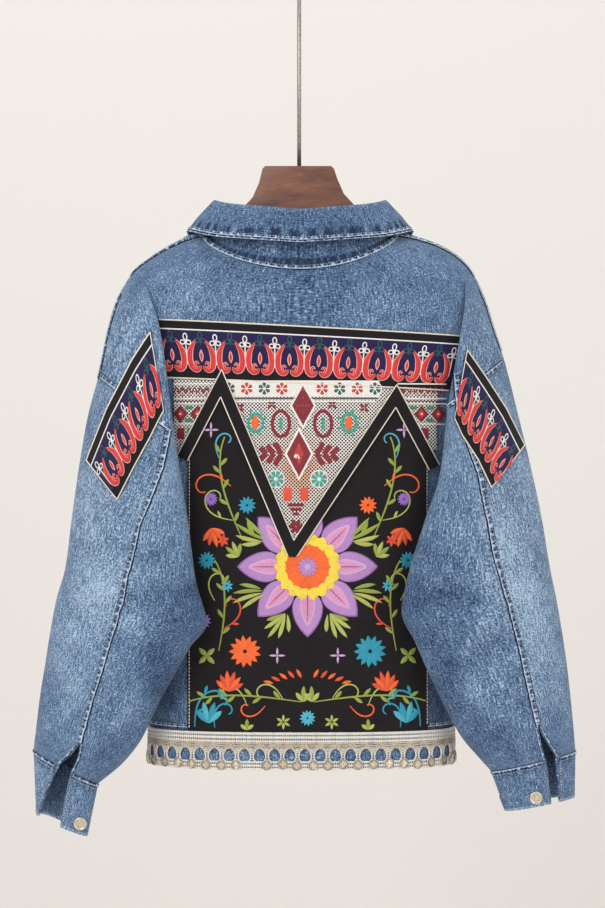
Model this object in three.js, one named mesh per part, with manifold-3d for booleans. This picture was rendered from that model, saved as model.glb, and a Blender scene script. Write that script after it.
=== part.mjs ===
// An embroidered denim jacket on a wooden hanger, seen from its back.
// Millimetres. +Z is up, the jacket's back faces -Y, and the origin is the inner top of the hanger's hook.
import * as THREE from "three";
import { mergeVertices } from "three/addons/utils/BufferGeometryUtils.js";
import Module from "manifold-3d";

const wasm = await Module();
wasm.setup();

// Driving dimensions
const DENIM = 1.8; // thickness of one layer of denim
const DOUBLE_DENIM = 2.4; // waistband and cuffs, two layers
const SEAM_GAP = 0.3; // between two pieces at a seam
const TRIM = 1; // woven band or embroidered cloth
const TRIM_LIFT = 0.8; // between a trim and the denim under it
const CRUMB = 0.02; // detail that a trim may leave and a maker would not see
const FAR = 600; // reach of the tools that trim a piece
const HEM_SEAM = -848; // where back and fronts meet the waistband
const HEM = -888; // the waistband's lower edge
const SHOULDER_SEAM = -10; // y of the shoulder and side seams, a little behind the ridge
const TORSO_POINTS = 40;
const SLEEVE_POINTS = 18;

const DENIM_BLUE = 0x6889b2;
const DENIM_DARK = 0x4b6a94;
const NAVY = 0x28204f;
const BLACK_COTTON = 0x1c1a1d;
const LATTICE_WHITE = 0xe9e2d6;
const LACE_WHITE = 0xe6dfd0;
const PALE_METAL = 0xb9b4a8;
const STEEL = 0x9a958a;
const STAINED_WOOD = 0x7a3f26;

// The torso, one row for each level from the neck to the hem.
// left and right are the sides, back and front the depths from the hanger's plane.
const TORSO = [
  { z: -291, left: -112, right: 112, back: 8, front: 8, square: 2.1 },
  { z: -297, left: -126, right: 127, back: 17, front: 16, square: 2.2 },
  { z: -309, left: -147, right: 157, back: 31, front: 26, square: 2.3 },
  { z: -323, left: -168, right: 179, back: 42, front: 34, square: 2.4 },
  { z: -341, left: -189, right: 194, back: 52, front: 42, square: 2.5 },
  { z: -371, left: -203, right: 205, back: 60, front: 51, square: 2.6 },
  { z: -410, left: -204, right: 207, back: 65, front: 60, square: 2.6 },
  { z: -460, left: -195, right: 198, back: 69, front: 68, square: 2.7 },
  { z: -510, left: -180, right: 184, back: 72, front: 74, square: 2.8 },
  { z: -560, left: -169, right: 173, back: 75, front: 78, square: 2.8 },
  { z: -620, left: -165, right: 169, back: 77, front: 81, square: 2.7 },
  { z: -690, left: -165, right: 168, back: 78.5, front: 82, square: 2.7 },
  { z: -770, left: -167, right: 170, back: 79, front: 81, square: 2.7 },
  { z: HEM_SEAM, left: -168, right: 171, back: 79, front: 79, square: 2.7 },
  { z: HEM, left: -168, right: 171, back: 79, front: 79, square: 2.7 },
];

// The sleeves, one row for each section from the shoulder to the cuff's seam.
// The outer edge is the silhouette, the inner edge the fold that hangs before the back.
// near and far are how much the section swells to the back's side and to the front's side.
// seam is the place of the back seam, as a share of the way from the outer edge to the fold.
const SLEEVE_COLUMNS = ["outerX", "outerZ", "outerY", "innerX", "innerZ", "innerY", "near", "far", "seam"];
const rowsOf = (columns, rows) =>
  rows.map((row) => Object.fromEntries(columns.map((name, i) => [name, row[i]])));
const SLEEVE_LEFT = rowsOf(SLEEVE_COLUMNS, [
  [-190, -342, -3, -176, -342, -20, 5, 6, 1],
  [-206, -371, -3, -165, -371, -48, 12, 14, 1],
  [-215, -401, -3, -155, -401, -62, 17, 24, 1],
  [-226, -454, -4, -146, -454, -72, 23, 34, 1],
  [-238, -500, -6, -140, -500, -79, 27, 40, 1],
  [-248, -558, -8, -131, -558, -86, 30, 42, 0.83],
  [-256, -616, -10, -121, -621, -92, 31, 40, 0.6],
  [-263, -671, -12, -113, -680, -96, 31, 37, 0.49],
  [-273, -707, -14, -101, -726, -98, 30, 34, 0.43],
  [-280, -746, -16, -119, -753, -94, 28, 33, 0.44],
  [-285, -779, -18, -136, -783, -88, 27, 32, 0.45],
  [-290, -811, -20, -153, -813, -81, 26, 31, 0.45],
  [-294, -845, -22, -175, -858, -72, 25, 30, 0.46],
  [-296, -863, -24, -195, -883, -66, 24, 28, 0.5],
  [-297, -872, -25, -222, -906, -58, 22, 26, 0.55],
]);
const SLEEVE_RIGHT = rowsOf(SLEEVE_COLUMNS, [
  [196, -343, -3, 184, -343, -22, 5, 6, 1],
  [208, -371, -3, 183, -371, -42, 9, 12, 1],
  [218, -403, -3, 178, -403, -56, 14, 22, 1],
  [230, -440, -4, 171, -440, -66, 19, 30, 1],
  [244, -496, -6, 161, -496, -75, 25, 38, 0.85],
  [260, -563, -8, 153, -563, -82, 29, 42, 0.6],
  [271, -616, -10, 135, -618, -89, 31, 40, 0.47],
  [280, -671, -12, 117, -676, -95, 31, 37, 0.37],
  [287, -706, -14, 110, -714, -98, 30, 34, 0.32],
  [293, -742, -16, 125, -748, -93, 28, 33, 0.32],
  [298, -777, -18, 140, -782, -87, 27, 32, 0.32],
  [302, -814, -20, 158, -819, -80, 26, 31, 0.32],
  [305, -847, -22, 178, -855, -72, 25, 30, 0.32],
  [306, -862, -24, 194, -874, -66, 24, 28, 0.32],
  [307, -874, -25, 210, -892, -60, 22, 26, 0.32],
]);

// The cuffs: the lower edge, and the opening as shares of the way from the outer edge, above and below.
const CUFF_LEFT = {
  outerX: -294, outerZ: -944, outerY: -27, innerX: -234, innerZ: -964, innerY: -56, near: 19, far: 23,
  gapAbove: [0.42, 0.6], gapBelow: [0.05, 0.5],
};
const CUFF_RIGHT = {
  outerX: 306, outerZ: -925, outerY: -27, innerX: 226, innerZ: -936, innerY: -58, near: 19, far: 23,
  gapAbove: [0.25, 0.37], gapBelow: [0.24, 0.36],
};

// The slits above the cuffs, where the sleeve's back seam is left open: top and the two lower ends.
const SLIT_LEFT = [[-241, -865], [-252, -930], [-268, -916]];
const SLIT_RIGHT = [[267, -842], [286, -912], [272, -912]];

// The armhole seams as lines across the back, from the outer edge to the fold.
const ARMHOLE_LEFT = [[-260, -431], [-226, -455], [-204, -471], [-138, -520]];
const ARMHOLE_RIGHT = [[264, -416], [230, -440], [203, -460], [158, -496]];

// The largest folds: a trough (depth over zero) or a ridge, long one way and narrow across it.
// side is -1 for the side that faces the back and 1 for the front's side, turn is in degrees.
const FOLDS = [
  { x: -200, z: -640, turn: 62, long: 60, wide: 13, depth: 5, side: -1 },
  { x: -170, z: -705, turn: 12, long: 50, wide: 12, depth: 7, side: -1 },
  { x: -215, z: -740, turn: -28, long: 55, wide: 13, depth: 5, side: -1 },
  { x: -240, z: -825, turn: 70, long: 50, wide: 12, depth: 5, side: -1 },
  { x: -195, z: -560, turn: 66, long: 65, wide: 12, depth: -4, side: -1 },
  { x: 205, z: -650, turn: -60, long: 60, wide: 13, depth: 5, side: -1 },
  { x: 180, z: -700, turn: -10, long: 52, wide: 12, depth: 7, side: -1 },
  { x: 225, z: -745, turn: 30, long: 55, wide: 13, depth: 5, side: -1 },
  { x: 250, z: -820, turn: -72, long: 50, wide: 12, depth: 5, side: -1 },
  { x: 205, z: -560, turn: -66, long: 65, wide: 12, depth: -4, side: -1 },
  { x: -205, z: -690, turn: 10, long: 60, wide: 14, depth: -6, side: 1 },
  { x: 215, z: -690, turn: -10, long: 60, wide: 14, depth: -6, side: 1 },
  { x: -95, z: -640, turn: 80, long: 150, wide: 16, depth: -5, side: 1 },
  { x: 98, z: -660, turn: -80, long: 150, wide: 16, depth: -5, side: 1 },
];

// Sums and blends
const mix = (a, b, t) => a + (b - a) * t;
const mixPoint = (p, q, t) => p.map((value, i) => mix(value, q[i], t));
const signedPower = (value, power) => Math.sign(value) * Math.abs(value) ** power;

function foldDepth(x, z, side) {
  let total = 0;
  for (const fold of FOLDS) {
    if (fold.side !== side) continue;
    const turn = THREE.MathUtils.degToRad(fold.turn);
    const along = (x - fold.x) * Math.cos(turn) + (z - fold.z) * Math.sin(turn);
    const across = (z - fold.z) * Math.cos(turn) - (x - fold.x) * Math.sin(turn);
    total += fold.depth * Math.exp(-((along / fold.long) ** 2) - (across / fold.wide) ** 2);
  }
  return -side * total;
}

// Closed solids from sections. Each section is a list of points, the same number in each.
function loftGeometry(sections, capKind) {
  const count = sections[0].length;
  const positions = sections.flat(2);
  const faces = [];
  for (let row = 0; row + 1 < sections.length; row += 1) {
    for (let i = 0; i < count; i += 1) {
      const a = row * count + i;
      const b = row * count + ((i + 1) % count);
      faces.push([a, b, b + count], [a, b + count, a + count]);
    }
  }
  for (const [row, turned] of [[0, true], [sections.length - 1, false]]) {
    const first = row * count;
    for (const [a, b, c] of capFaces(count, capKind)) {
      faces.push(turned ? [first + a, first + c, first + b] : [first + a, first + b, first + c]);
    }
  }
  return orientedGeometry(positions, faces);
}

// A cap is a fan for a rounded ring, and a strip between its two long sides for a thin wall.
function capFaces(count, capKind) {
  const faces = [];
  if (capKind === "fan") {
    for (let i = 1; i + 1 < count; i += 1) faces.push([0, i, i + 1]);
    return faces;
  }
  const half = count / 2;
  for (let i = 0; i + 1 < half; i += 1) {
    faces.push([i, i + 1, count - 2 - i], [i, count - 2 - i, count - 1 - i]);
  }
  return faces;
}

// The faces are turned round if they enclose a negative volume, so that they point out.
function orientedGeometry(positions, faces) {
  const point = (i) => new THREE.Vector3(...positions.slice(3 * i, 3 * i + 3));
  let volume = 0;
  for (const [a, b, c] of faces) volume += point(a).dot(point(b).cross(point(c)));
  const index = volume < 0 ? faces.map(([a, b, c]) => [a, c, b]) : faces;
  const geometry = new THREE.BufferGeometry();
  geometry.setAttribute("position", new THREE.Float32BufferAttribute(positions, 3));
  geometry.setIndex(index.flat());
  return geometry;
}

// Solids that can be joined and cut
function solidOf(geometry) {
  const bare = geometry.clone();
  bare.deleteAttribute("normal");
  bare.deleteAttribute("uv");
  const merged = mergeVertices(bare, 1e-4);
  return new wasm.Manifold(
    new wasm.Mesh({
      numProp: 3,
      vertProperties: new Float32Array(merged.attributes.position.array),
      triVerts: new Uint32Array(merged.index.array),
    }),
  );
}

// The largest body of a solid, without the crumbs and slivers that a trim can leave.
function largestBody(solid) {
  const bodies = solid.asOriginal().simplify(CRUMB).decompose();
  bodies.sort((a, b) => b.volume() - a.volume());
  return bodies[0];
}

function geometryOf(solid) {
  const mesh = largestBody(solid).getMesh();
  const geometry = new THREE.BufferGeometry();
  geometry.setAttribute("position", new THREE.Float32BufferAttribute(mesh.vertProperties, 3));
  geometry.setIndex([...mesh.triVerts]);
  return geometry;
}

// A block whose outline is given as seen from the back, from one depth to another.
function prism(outline, fromY, toY) {
  const contour = outline.map(([x, z]) => new THREE.Vector2(x, z));
  if (THREE.ShapeUtils.isClockWise(contour)) contour.reverse();
  const count = contour.length;
  const positions = [fromY, toY].flatMap((y) => contour.flatMap((p) => [p.x, y, p.y]));
  const faces = [];
  for (const [a, b, c] of THREE.ShapeUtils.triangulateShape(contour, [])) {
    faces.push([a, b, c], [a + count, c + count, b + count]);
  }
  for (let i = 0; i < count; i += 1) {
    const j = (i + 1) % count;
    faces.push([j, i, i + count], [j, i + count, j + count]);
  }
  return solidOf(orientedGeometry(positions, faces));
}

const slab = (fromX, toX, fromY, toY, fromZ = -1100, toZ = 100) =>
  prism([[fromX, fromZ], [toX, fromZ], [toX, toZ], [fromX, toZ]], fromY, toY);

// A ring drawn inwards by a wall's thickness, in its own plane (x along the ring's tilt, and y).
function insetRing(ring, thickness) {
  const count = ring.length;
  return ring.map(([x, y, z], i) => {
    const [ax, ay] = ring[(i + count - 1) % count];
    const [bx, by] = ring[(i + 1) % count];
    const length = Math.hypot(bx - ax, by - ay);
    return [x + ((ay - by) / length) * thickness, y + ((bx - ax) / length) * thickness, z];
  });
}

// The torso's ring at one row of its table, from the right side over the front to the left and the back.
function torsoRing(row, thickness = 0, lower = 0) {
  const middle = (row.left + row.right) / 2;
  const half = (row.right - row.left) / 2;
  const ring = [];
  for (let i = 0; i < TORSO_POINTS; i += 1) {
    const angle = (2 * Math.PI * i) / TORSO_POINTS;
    const depth = Math.sin(angle) < 0 ? row.back : row.front;
    const x = middle + half * signedPower(Math.cos(angle), 2 / row.square);
    const y = depth * signedPower(Math.sin(angle), 2 / row.square);
    const fold = foldDepth(x, row.z, Math.sign(y)) * Math.abs(Math.sin(angle));
    ring.push([x, y + fold, row.z]);
  }
  return insetRing(ring, thickness).map(([x, y, z]) => [x, y, z - lower]);
}

// The wall keeps its thickness under a sloping shoulder, so its inner ring lies lower there.
function torsoSolid(rows, thickness) {
  const sections = rows.map((row, i) => {
    const above = rows[Math.max(i - 1, 0)];
    const below = rows[Math.min(i + 1, rows.length - 1)];
    const rise = above.z - below.z;
    const spread = below.right - above.right;
    const lower = spread > 0 ? (thickness * spread) / Math.hypot(spread, rise) : 0;
    return torsoRing(row, thickness, lower);
  });
  return solidOf(loftGeometry(sections, "fan"));
}

// One section of a sleeve or cuff: near side from the outer edge to the fold, then far side back.
function sleevePoint(row, angle) {
  const share = (1 - Math.cos(angle)) / 2;
  const x = mix(row.outerX, row.innerX, share);
  const z = mix(row.outerZ, row.innerZ, share);
  const chordY = mix(row.outerY, row.innerY, share);
  const isNear = Math.sin(angle) >= 0;
  const swell = isNear
    ? -row.near * Math.abs(Math.sin(angle)) ** 0.9
    : row.far * Math.sin(Math.PI * share ** 0.7) ** 1.1;
  const fold = foldDepth(x, z, isNear ? -1 : 1) * Math.abs(Math.sin(angle));
  return [x, chordY + swell + fold, z];
}

const handOf = (row) => Math.sign(row.outerX);

function sleeveRing(row, thickness = 0, points = SLEEVE_POINTS) {
  const ring = [];
  for (let i = 0; i < points; i += 1) ring.push(sleevePoint(row, (2 * Math.PI * i) / points));
  return insetRing(ring, thickness * -handOf(row));
}

const sleeveSolid = (rows, thickness) =>
  solidOf(loftGeometry(rows.map((row) => sleeveRing(row, thickness)), "fan"));

// A row moved on along the line from the row before it.
function rowBeyond(before, row, step) {
  const moved = {};
  for (const key of Object.keys(row)) moved[key] = mix(before[key], row[key], 1 + step);
  return { ...row, ...moved };
}

// The part of space that belongs to a sleeve: all that lies below its armhole seam.
function belowSeam(line, drop) {
  const hand = Math.sign(line[0][0]);
  const lowered = line.map(([x, z]) => [x, z - drop]);
  const start = lowered[0];
  const end = lowered.at(-1);
  return prism(
    [[hand * FAR, start[1]], ...lowered, [hand * 40, end[1]], [hand * 40, -1100], [hand * FAR, -1100]],
    -FAR,
    FAR,
  );
}

// The strip between the back seam and the fold, on the side that faces the back.
function underSleeveTool(rows, gap) {
  const sections = rows.map((row) => {
    const width = Math.abs(row.innerX - row.outerX);
    const place = (share, depth) => [
      mix(row.outerX, row.innerX, share),
      mix(row.outerY, row.innerY, share) + depth,
      mix(row.outerZ, row.innerZ, share),
    ];
    const from = row.seam + gap / width;
    return [place(from, -FAR), place(from, -gap), place(1.3, -gap), place(1.3, -FAR)];
  });
  return solidOf(loftGeometry(sections, "fan"));
}

const torsoOuter = torsoSolid(TORSO.slice(0, -1), 0);
const torsoKeepOut = torsoSolid(TORSO, -SEAM_GAP);
const torsoInner = torsoSolid([...TORSO, { ...TORSO.at(-1), z: HEM - 40 }], DENIM);

function sleeveSolids(rows) {
  const last = rows.at(-1);
  const ceiling = 2 * DENIM;
  const top = { ...rows[0], outerZ: rows[0].outerZ - ceiling, innerZ: rows[0].innerZ - ceiling };
  const beyond = rowBeyond(rows.at(-2), last, 0.8);
  return { outer: sleeveSolid(rows, 0), inner: sleeveSolid([top, ...rows.slice(1), beyond], DENIM) };
}

const sleeveSides = {
  left: { rows: SLEEVE_LEFT, armhole: ARMHOLE_LEFT, slit: SLIT_LEFT, cuff: CUFF_LEFT },
  right: { rows: SLEEVE_RIGHT, armhole: ARMHOLE_RIGHT, slit: SLIT_RIGHT, cuff: CUFF_RIGHT },
};
for (const side of Object.values(sleeveSides)) Object.assign(side, sleeveSolids(side.rows));

// The neck is cut as an oval hole, seen from above.
const NECK = { halfWidth: 106, back: 46, front: 60, square: 2.2 };

function neckPoint(angle, shrink = 0) {
  const depth = Math.sin(angle) < 0 ? NECK.back : NECK.front;
  const x = (NECK.halfWidth - shrink) * signedPower(Math.cos(angle), 2 / NECK.square);
  const y = (depth - shrink) * signedPower(Math.sin(angle), 2 / NECK.square);
  return [x, y];
}

const neckRing = (z) =>
  Array.from({ length: 36 }, (_, i) => [...neckPoint((2 * Math.PI * i) / 36), z]);
const neckHole = solidOf(loftGeometry([neckRing(-700), neckRing(0)], "fan"));

// Back and fronts: the torso's wall with the shoulder caps, open to the sleeves, neck and hem.
function bodySolid() {
  let walls = torsoOuter;
  for (const side of Object.values(sleeveSides)) {
    walls = walls.add(side.outer.subtract(belowSeam(side.armhole, 0)));
  }
  walls = walls.subtract(torsoInner).subtract(neckHole);
  for (const side of Object.values(sleeveSides)) walls = walls.subtract(side.inner);
  return walls;
}

const jacket = new THREE.Group();
jacket.name = "embroidered_denim_jacket";

function addPiece(name, geometry, colour, roughness = 0.9, metalness = 0) {
  const material = new THREE.MeshStandardMaterial({ color: colour, roughness, metalness });
  const mesh = new THREE.Mesh(geometry, material);
  mesh.name = name;
  jacket.add(mesh);
}

const body = bodySolid();
const halfGap = SEAM_GAP / 2;
const backTool = slab(-FAR, FAR, -FAR, SHOULDER_SEAM - halfGap);
const frontLeftTool = slab(-FAR, -halfGap, SHOULDER_SEAM + halfGap, FAR);
const frontRightTool = slab(halfGap, FAR, SHOULDER_SEAM + halfGap, FAR);
addPiece("back", geometryOf(body.intersect(backTool)), DENIM_BLUE);
addPiece("front_left", geometryOf(body.intersect(frontLeftTool)), DENIM_BLUE);
addPiece("front_right", geometryOf(body.intersect(frontRightTool)), DENIM_BLUE);

function addSleeve(name, side) {
  const chordDepth = -42;
  const slitTool = prism(side.slit, -FAR, chordDepth);
  const wall = side.outer
    .intersect(belowSeam(side.armhole, SEAM_GAP))
    .subtract(side.inner)
    .subtract(torsoKeepOut)
    .subtract(slitTool);
  addPiece(`sleeve_upper_${name}`, geometryOf(wall.subtract(underSleeveTool(side.rows, 0))), DENIM_BLUE);
  const under = wall.intersect(underSleeveTool(side.rows, SEAM_GAP));
  addPiece(`sleeve_under_${name}`, geometryOf(under), DENIM_DARK);
}
for (const [name, side] of Object.entries(sleeveSides)) addSleeve(name, side);

// A thin wall from a flat pattern: its points are [a, b, raised], and place(a, b, lift) puts them on a panel.
function sheetGeometry(pattern, place, lift, thickness) {
  const { points, faces } = pattern;
  const inner = points.map(([a, b]) => place(a, b, lift));
  const outer = points.map(([a, b, raised = 0]) => place(a, b, lift + thickness + raised));
  const count = points.length;
  const walls = [];
  const edges = new Map();
  for (const face of faces) {
    for (let i = 0; i < 3; i += 1) {
      const edge = [face[i], face[(i + 1) % 3]];
      edges.set(edge.join(","), edge);
    }
  }
  for (const [a, b] of edges.values()) {
    if (!edges.has(`${b},${a}`)) walls.push([a, b, b + count], [a, b + count, a + count]);
  }
  const inside = faces.map(([a, b, c]) => [a, c, b]);
  const outside = faces.map(([a, b, c]) => [a + count, b + count, c + count]);
  return orientedGeometry([...inner, ...outer].flat(), [...inside, ...outside, ...walls]);
}

// A pattern between two edges, each a function of the way along it.
function gridPattern(edgeA, edgeB, columns, rows) {
  const points = [];
  const faces = [];
  for (let j = 0; j <= rows; j += 1) {
    for (let i = 0; i <= columns; i += 1) {
      points.push(mixPoint(edgeA(i / columns), edgeB(i / columns), j / rows));
    }
  }
  for (let j = 0; j < rows; j += 1) {
    for (let i = 0; i < columns; i += 1) {
      const a = j * (columns + 1) + i;
      const b = a + columns + 1;
      faces.push([a, b, a + 1], [a + 1, b, b + 1]);
    }
  }
  return { points, faces };
}

// A line through a few points, as a function of the way along it from 0 to 1, by length.
function lineThrough(points) {
  const lengths = [0];
  for (let i = 1; i < points.length; i += 1) {
    const step = Math.hypot(points[i][0] - points[i - 1][0], points[i][1] - points[i - 1][1]);
    lengths.push(lengths.at(-1) + step);
  }
  return (way) => {
    const target = way * lengths.at(-1);
    let i = 1;
    while (i < points.length - 1 && lengths[i] < target) i += 1;
    return mixPoint(points[i - 1], points[i], (target - lengths[i - 1]) / (lengths[i] - lengths[i - 1]));
  };
}

// The torso's surface, as its sections have it: y for a place seen from the back or the front.
const torsoRings = TORSO.map((row) => torsoRing(row));

function torsoY(x, z, side) {
  let row = 0;
  while (row < TORSO.length - 2 && z < TORSO[row + 1].z) row += 1;
  const share = (z - TORSO[row].z) / (TORSO[row + 1].z - TORSO[row].z);
  const start = side < 0 ? TORSO_POINTS / 2 : 0;
  const at = (i) => mixPoint(torsoRings[row][i % TORSO_POINTS], torsoRings[row + 1][i % TORSO_POINTS], share);
  for (let i = start; i < start + TORSO_POINTS / 2; i += 1) {
    const [p, q] = [at(i), at(i + 1)];
    if ((p[0] - x) * (q[0] - x) <= 0 && p[0] !== q[0]) return mix(p[1], q[1], (x - p[0]) / (q[0] - p[0]));
  }
  return 0;
}

// The back's side of a sleeve, by the row and the share of the way to the fold that hold a place.
function sleeveY(rows, x, z) {
  let share = 0.5;
  let row = 0;
  let part = 0;
  for (let pass = 0; pass < 8; pass += 1) {
    const level = (i) => mix(rows[i].outerZ, rows[i].innerZ, share);
    row = 0;
    while (row < rows.length - 2 && z < level(row + 1)) row += 1;
    part = (z - level(row)) / (level(row + 1) - level(row));
    const outer = mix(rows[row].outerX, rows[row + 1].outerX, part);
    const inner = mix(rows[row].innerX, rows[row + 1].innerX, part);
    share = Math.min(Math.max((x - outer) / (inner - outer), 0.01), 0.99);
  }
  const angle = Math.acos(1 - 2 * share);
  return mix(sleevePoint(rows[row], angle)[1], sleevePoint(rows[row + 1], angle)[1], part);
}

// A place on a surface, moved out along the surface's own direction.
function liftedPlace(surfaceY, side) {
  const reach = 5;
  return (x, z, lift) => {
    const slopeX = (surfaceY(x + reach, z) - surfaceY(x - reach, z)) / (2 * reach);
    const slopeZ = (surfaceY(x, z + reach) - surfaceY(x, z - reach)) / (2 * reach);
    const length = Math.hypot(slopeX, 1, slopeZ);
    const out = (side * lift) / length;
    return [x - slopeX * out, surfaceY(x, z) + out, z - slopeZ * out];
  };
}
const onBack = liftedPlace((x, z) => torsoY(x, z, -1), -1);
const onFront = liftedPlace((x, z) => torsoY(x, z, 1), 1);
const sleeveKeepOuts = Object.values(sleeveSides).map((side) => sleeveSolid(side.rows, -1.4 * SEAM_GAP));

// A trim on the back that runs on behind the sleeves' folds as far as they leave room.
function addBackTrim(name, pattern, lift, colour) {
  let trim = solidOf(sheetGeometry(pattern, onBack, lift, TRIM));
  for (const keepOut of sleeveKeepOuts) trim = trim.subtract(keepOut);
  addPiece(name, geometryOf(trim), colour);
}

const onSleeve = (rows) => liftedPlace((x, z) => sleeveY(rows, x, z), -1);

// The trims on the back, from their edges as seen from behind.
const BAND_TOP = [[-156, -394], [178, -412]];
const BAND_BOTTOM = [[-147, -460], [164, -474]];
const LATTICE_LOW = -539; // lower edge of the lattice ribbon beside the zigzag
const PANEL_SIDES = [-123, 140];
const PANEL_LOW = -846.5;
const ZIGZAG = [[-128, -548], [-86, -466], [-8, -651], [105, -480], [146, -558]];
const ZIGZAG_WIDTH = 13;
const zigzagZ = (x) => {
  let i = 1;
  while (i < ZIGZAG.length - 1 && ZIGZAG[i][0] < x) i += 1;
  const [from, to] = [ZIGZAG[i - 1], ZIGZAG[i]];
  return mix(from[1], to[1], (x - from[0]) / (to[0] - from[0]));
};
const bandBottomZ = (x) => {
  const [[fromX, fromZ], [toX, toZ]] = BAND_BOTTOM;
  return mix(fromZ, toZ, (x - fromX) / (toX - fromX));
};

// Columns between given stations, none wider than a step.
function columnsBetween(stations, step) {
  const columns = [stations[0]];
  for (let i = 1; i < stations.length; i += 1) {
    const count = Math.max(Math.round((stations[i] - stations[i - 1]) / step), 1);
    for (let k = 1; k <= count; k += 1) columns.push(mix(stations[i - 1], stations[i], k / count));
  }
  return columns;
}

// A pattern that hangs in columns, each from a top height to a low one.
function columnPattern(columns, topZ, lowZ, rows) {
  const at = (height) => (way) => {
    const x = columns[Math.round(way * (columns.length - 1))];
    return [x, height(x)];
  };
  return gridPattern(at(topZ), at(lowZ), columns.length - 1, rows);
}

const COLUMN = 10.5; // width of a trim's columns
const band = gridPattern(lineThrough(BAND_TOP), lineThrough(BAND_BOTTOM), 32, 2);
addBackTrim("band_back", band, TRIM_LIFT, NAVY);

const trimCorners = ZIGZAG.map(([x]) => x);
const latticeColumns = columnsBetween([-139, ...trimCorners, 151], COLUMN);
const latticeLow = (x) => (x < trimCorners[0] || x > trimCorners.at(-1) ? LATTICE_LOW : zigzagZ(x) + 0.5);
const latticePattern = columnPattern(latticeColumns, (x) => bandBottomZ(x) - 0.8, latticeLow, 4);
addBackTrim("lattice_ribbon", latticePattern, TRIM_LIFT, LATTICE_WHITE);

const panelColumns = columnsBetween([PANEL_SIDES[0], ...trimCorners.slice(1, -1), PANEL_SIDES[1]], COLUMN);
const panelPattern = columnPattern(panelColumns, (x) => zigzagZ(x) - 0.5, () => PANEL_LOW, 7);
addBackTrim("embroidered_panel", panelPattern, TRIM_LIFT, BLACK_COTTON);

// The zigzag trim turns at mitred corners.
function stripPattern(line, width, steps) {
  const side = (sign) => {
    const points = line.map(([x, z], i) => {
      const before = line[Math.max(i - 1, 0)];
      const after = line[Math.min(i + 1, line.length - 1)];
      const into = new THREE.Vector2(x - before[0], z - before[1]).normalize();
      const out = new THREE.Vector2(after[0] - x, after[1] - z).normalize();
      if (i === 0) into.copy(out);
      if (i === line.length - 1) out.copy(into);
      const normal = new THREE.Vector2(-into.y - out.y, into.x + out.x).normalize();
      const reach = (sign * width) / 2 / Math.max(normal.dot(new THREE.Vector2(-into.y, into.x)), 0.3);
      return [x + normal.x * reach, z + normal.y * reach];
    });
    return (way) => {
      const i = Math.min(Math.floor(way * (points.length - 1)), points.length - 2);
      return mixPoint(points[i], points[i + 1], way * (points.length - 1) - i);
    };
  };
  return gridPattern(side(1), side(-1), steps * (line.length - 1), 1);
}
const trimPattern = stripPattern(ZIGZAG, ZIGZAG_WIDTH, 8);
addBackTrim("zigzag_trim", trimPattern, TRIM_LIFT + TRIM + 2 * SEAM_GAP, BLACK_COTTON);

const PATCH_LEFT = {
  upper: [[-163, -408], [-184, -439], [-213, -493], [-237, -551]],
  lower: [[-148, -497], [-162, -526], [-181, -560], [-199, -594]],
};
const PATCH_RIGHT = {
  upper: [[182, -428], [204, -458], [228, -493], [250, -534]],
  lower: [[168, -505], [176, -524], [193, -550], [208, -581]],
};
function addPatch(name, rows, patch) {
  const pattern = gridPattern(lineThrough(patch.upper), lineThrough(patch.lower), 12, 6);
  addPiece(name, sheetGeometry(pattern, onSleeve(rows), TRIM_LIFT + 0.2, TRIM), NAVY);
}
addPatch("band_sleeve_left", SLEEVE_LEFT, PATCH_LEFT);
addPatch("band_sleeve_right", SLEEVE_RIGHT, PATCH_RIGHT);

// Bands that go round: a row of thin sections, each a list of four corners or more.
const wrapGeometry = (sections) => loftGeometry(sections, "strip");

// The waistband is one strip that meets at the front.
function waistbandSections() {
  const ringAt = (z, inset) => torsoRing({ ...TORSO.at(-2), z }, inset);
  const top = HEM_SEAM - SEAM_GAP;
  const rings = [ringAt(top, 0), ringAt(HEM, 0), ringAt(HEM, DOUBLE_DENIM), ringAt(top, DOUBLE_DENIM)];
  const quarter = TORSO_POINTS / 4;
  const sections = [];
  for (let i = 0; i <= TORSO_POINTS; i += 1) {
    sections.push(rings.map((ring) => ring[(i + quarter) % TORSO_POINTS]));
  }
  for (const [end, neighbour] of [[0, 1], [TORSO_POINTS, TORSO_POINTS - 1]]) {
    const width = Math.hypot(...sections[end][0].map((value, k) => value - sections[neighbour][0][k]));
    sections[end] = sections[end].map((p, k) => mixPoint(p, sections[neighbour][k], halfGap / width));
  }
  return sections;
}
addPiece("waistband", wrapGeometry(waistbandSections()), DENIM_BLUE);

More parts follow.
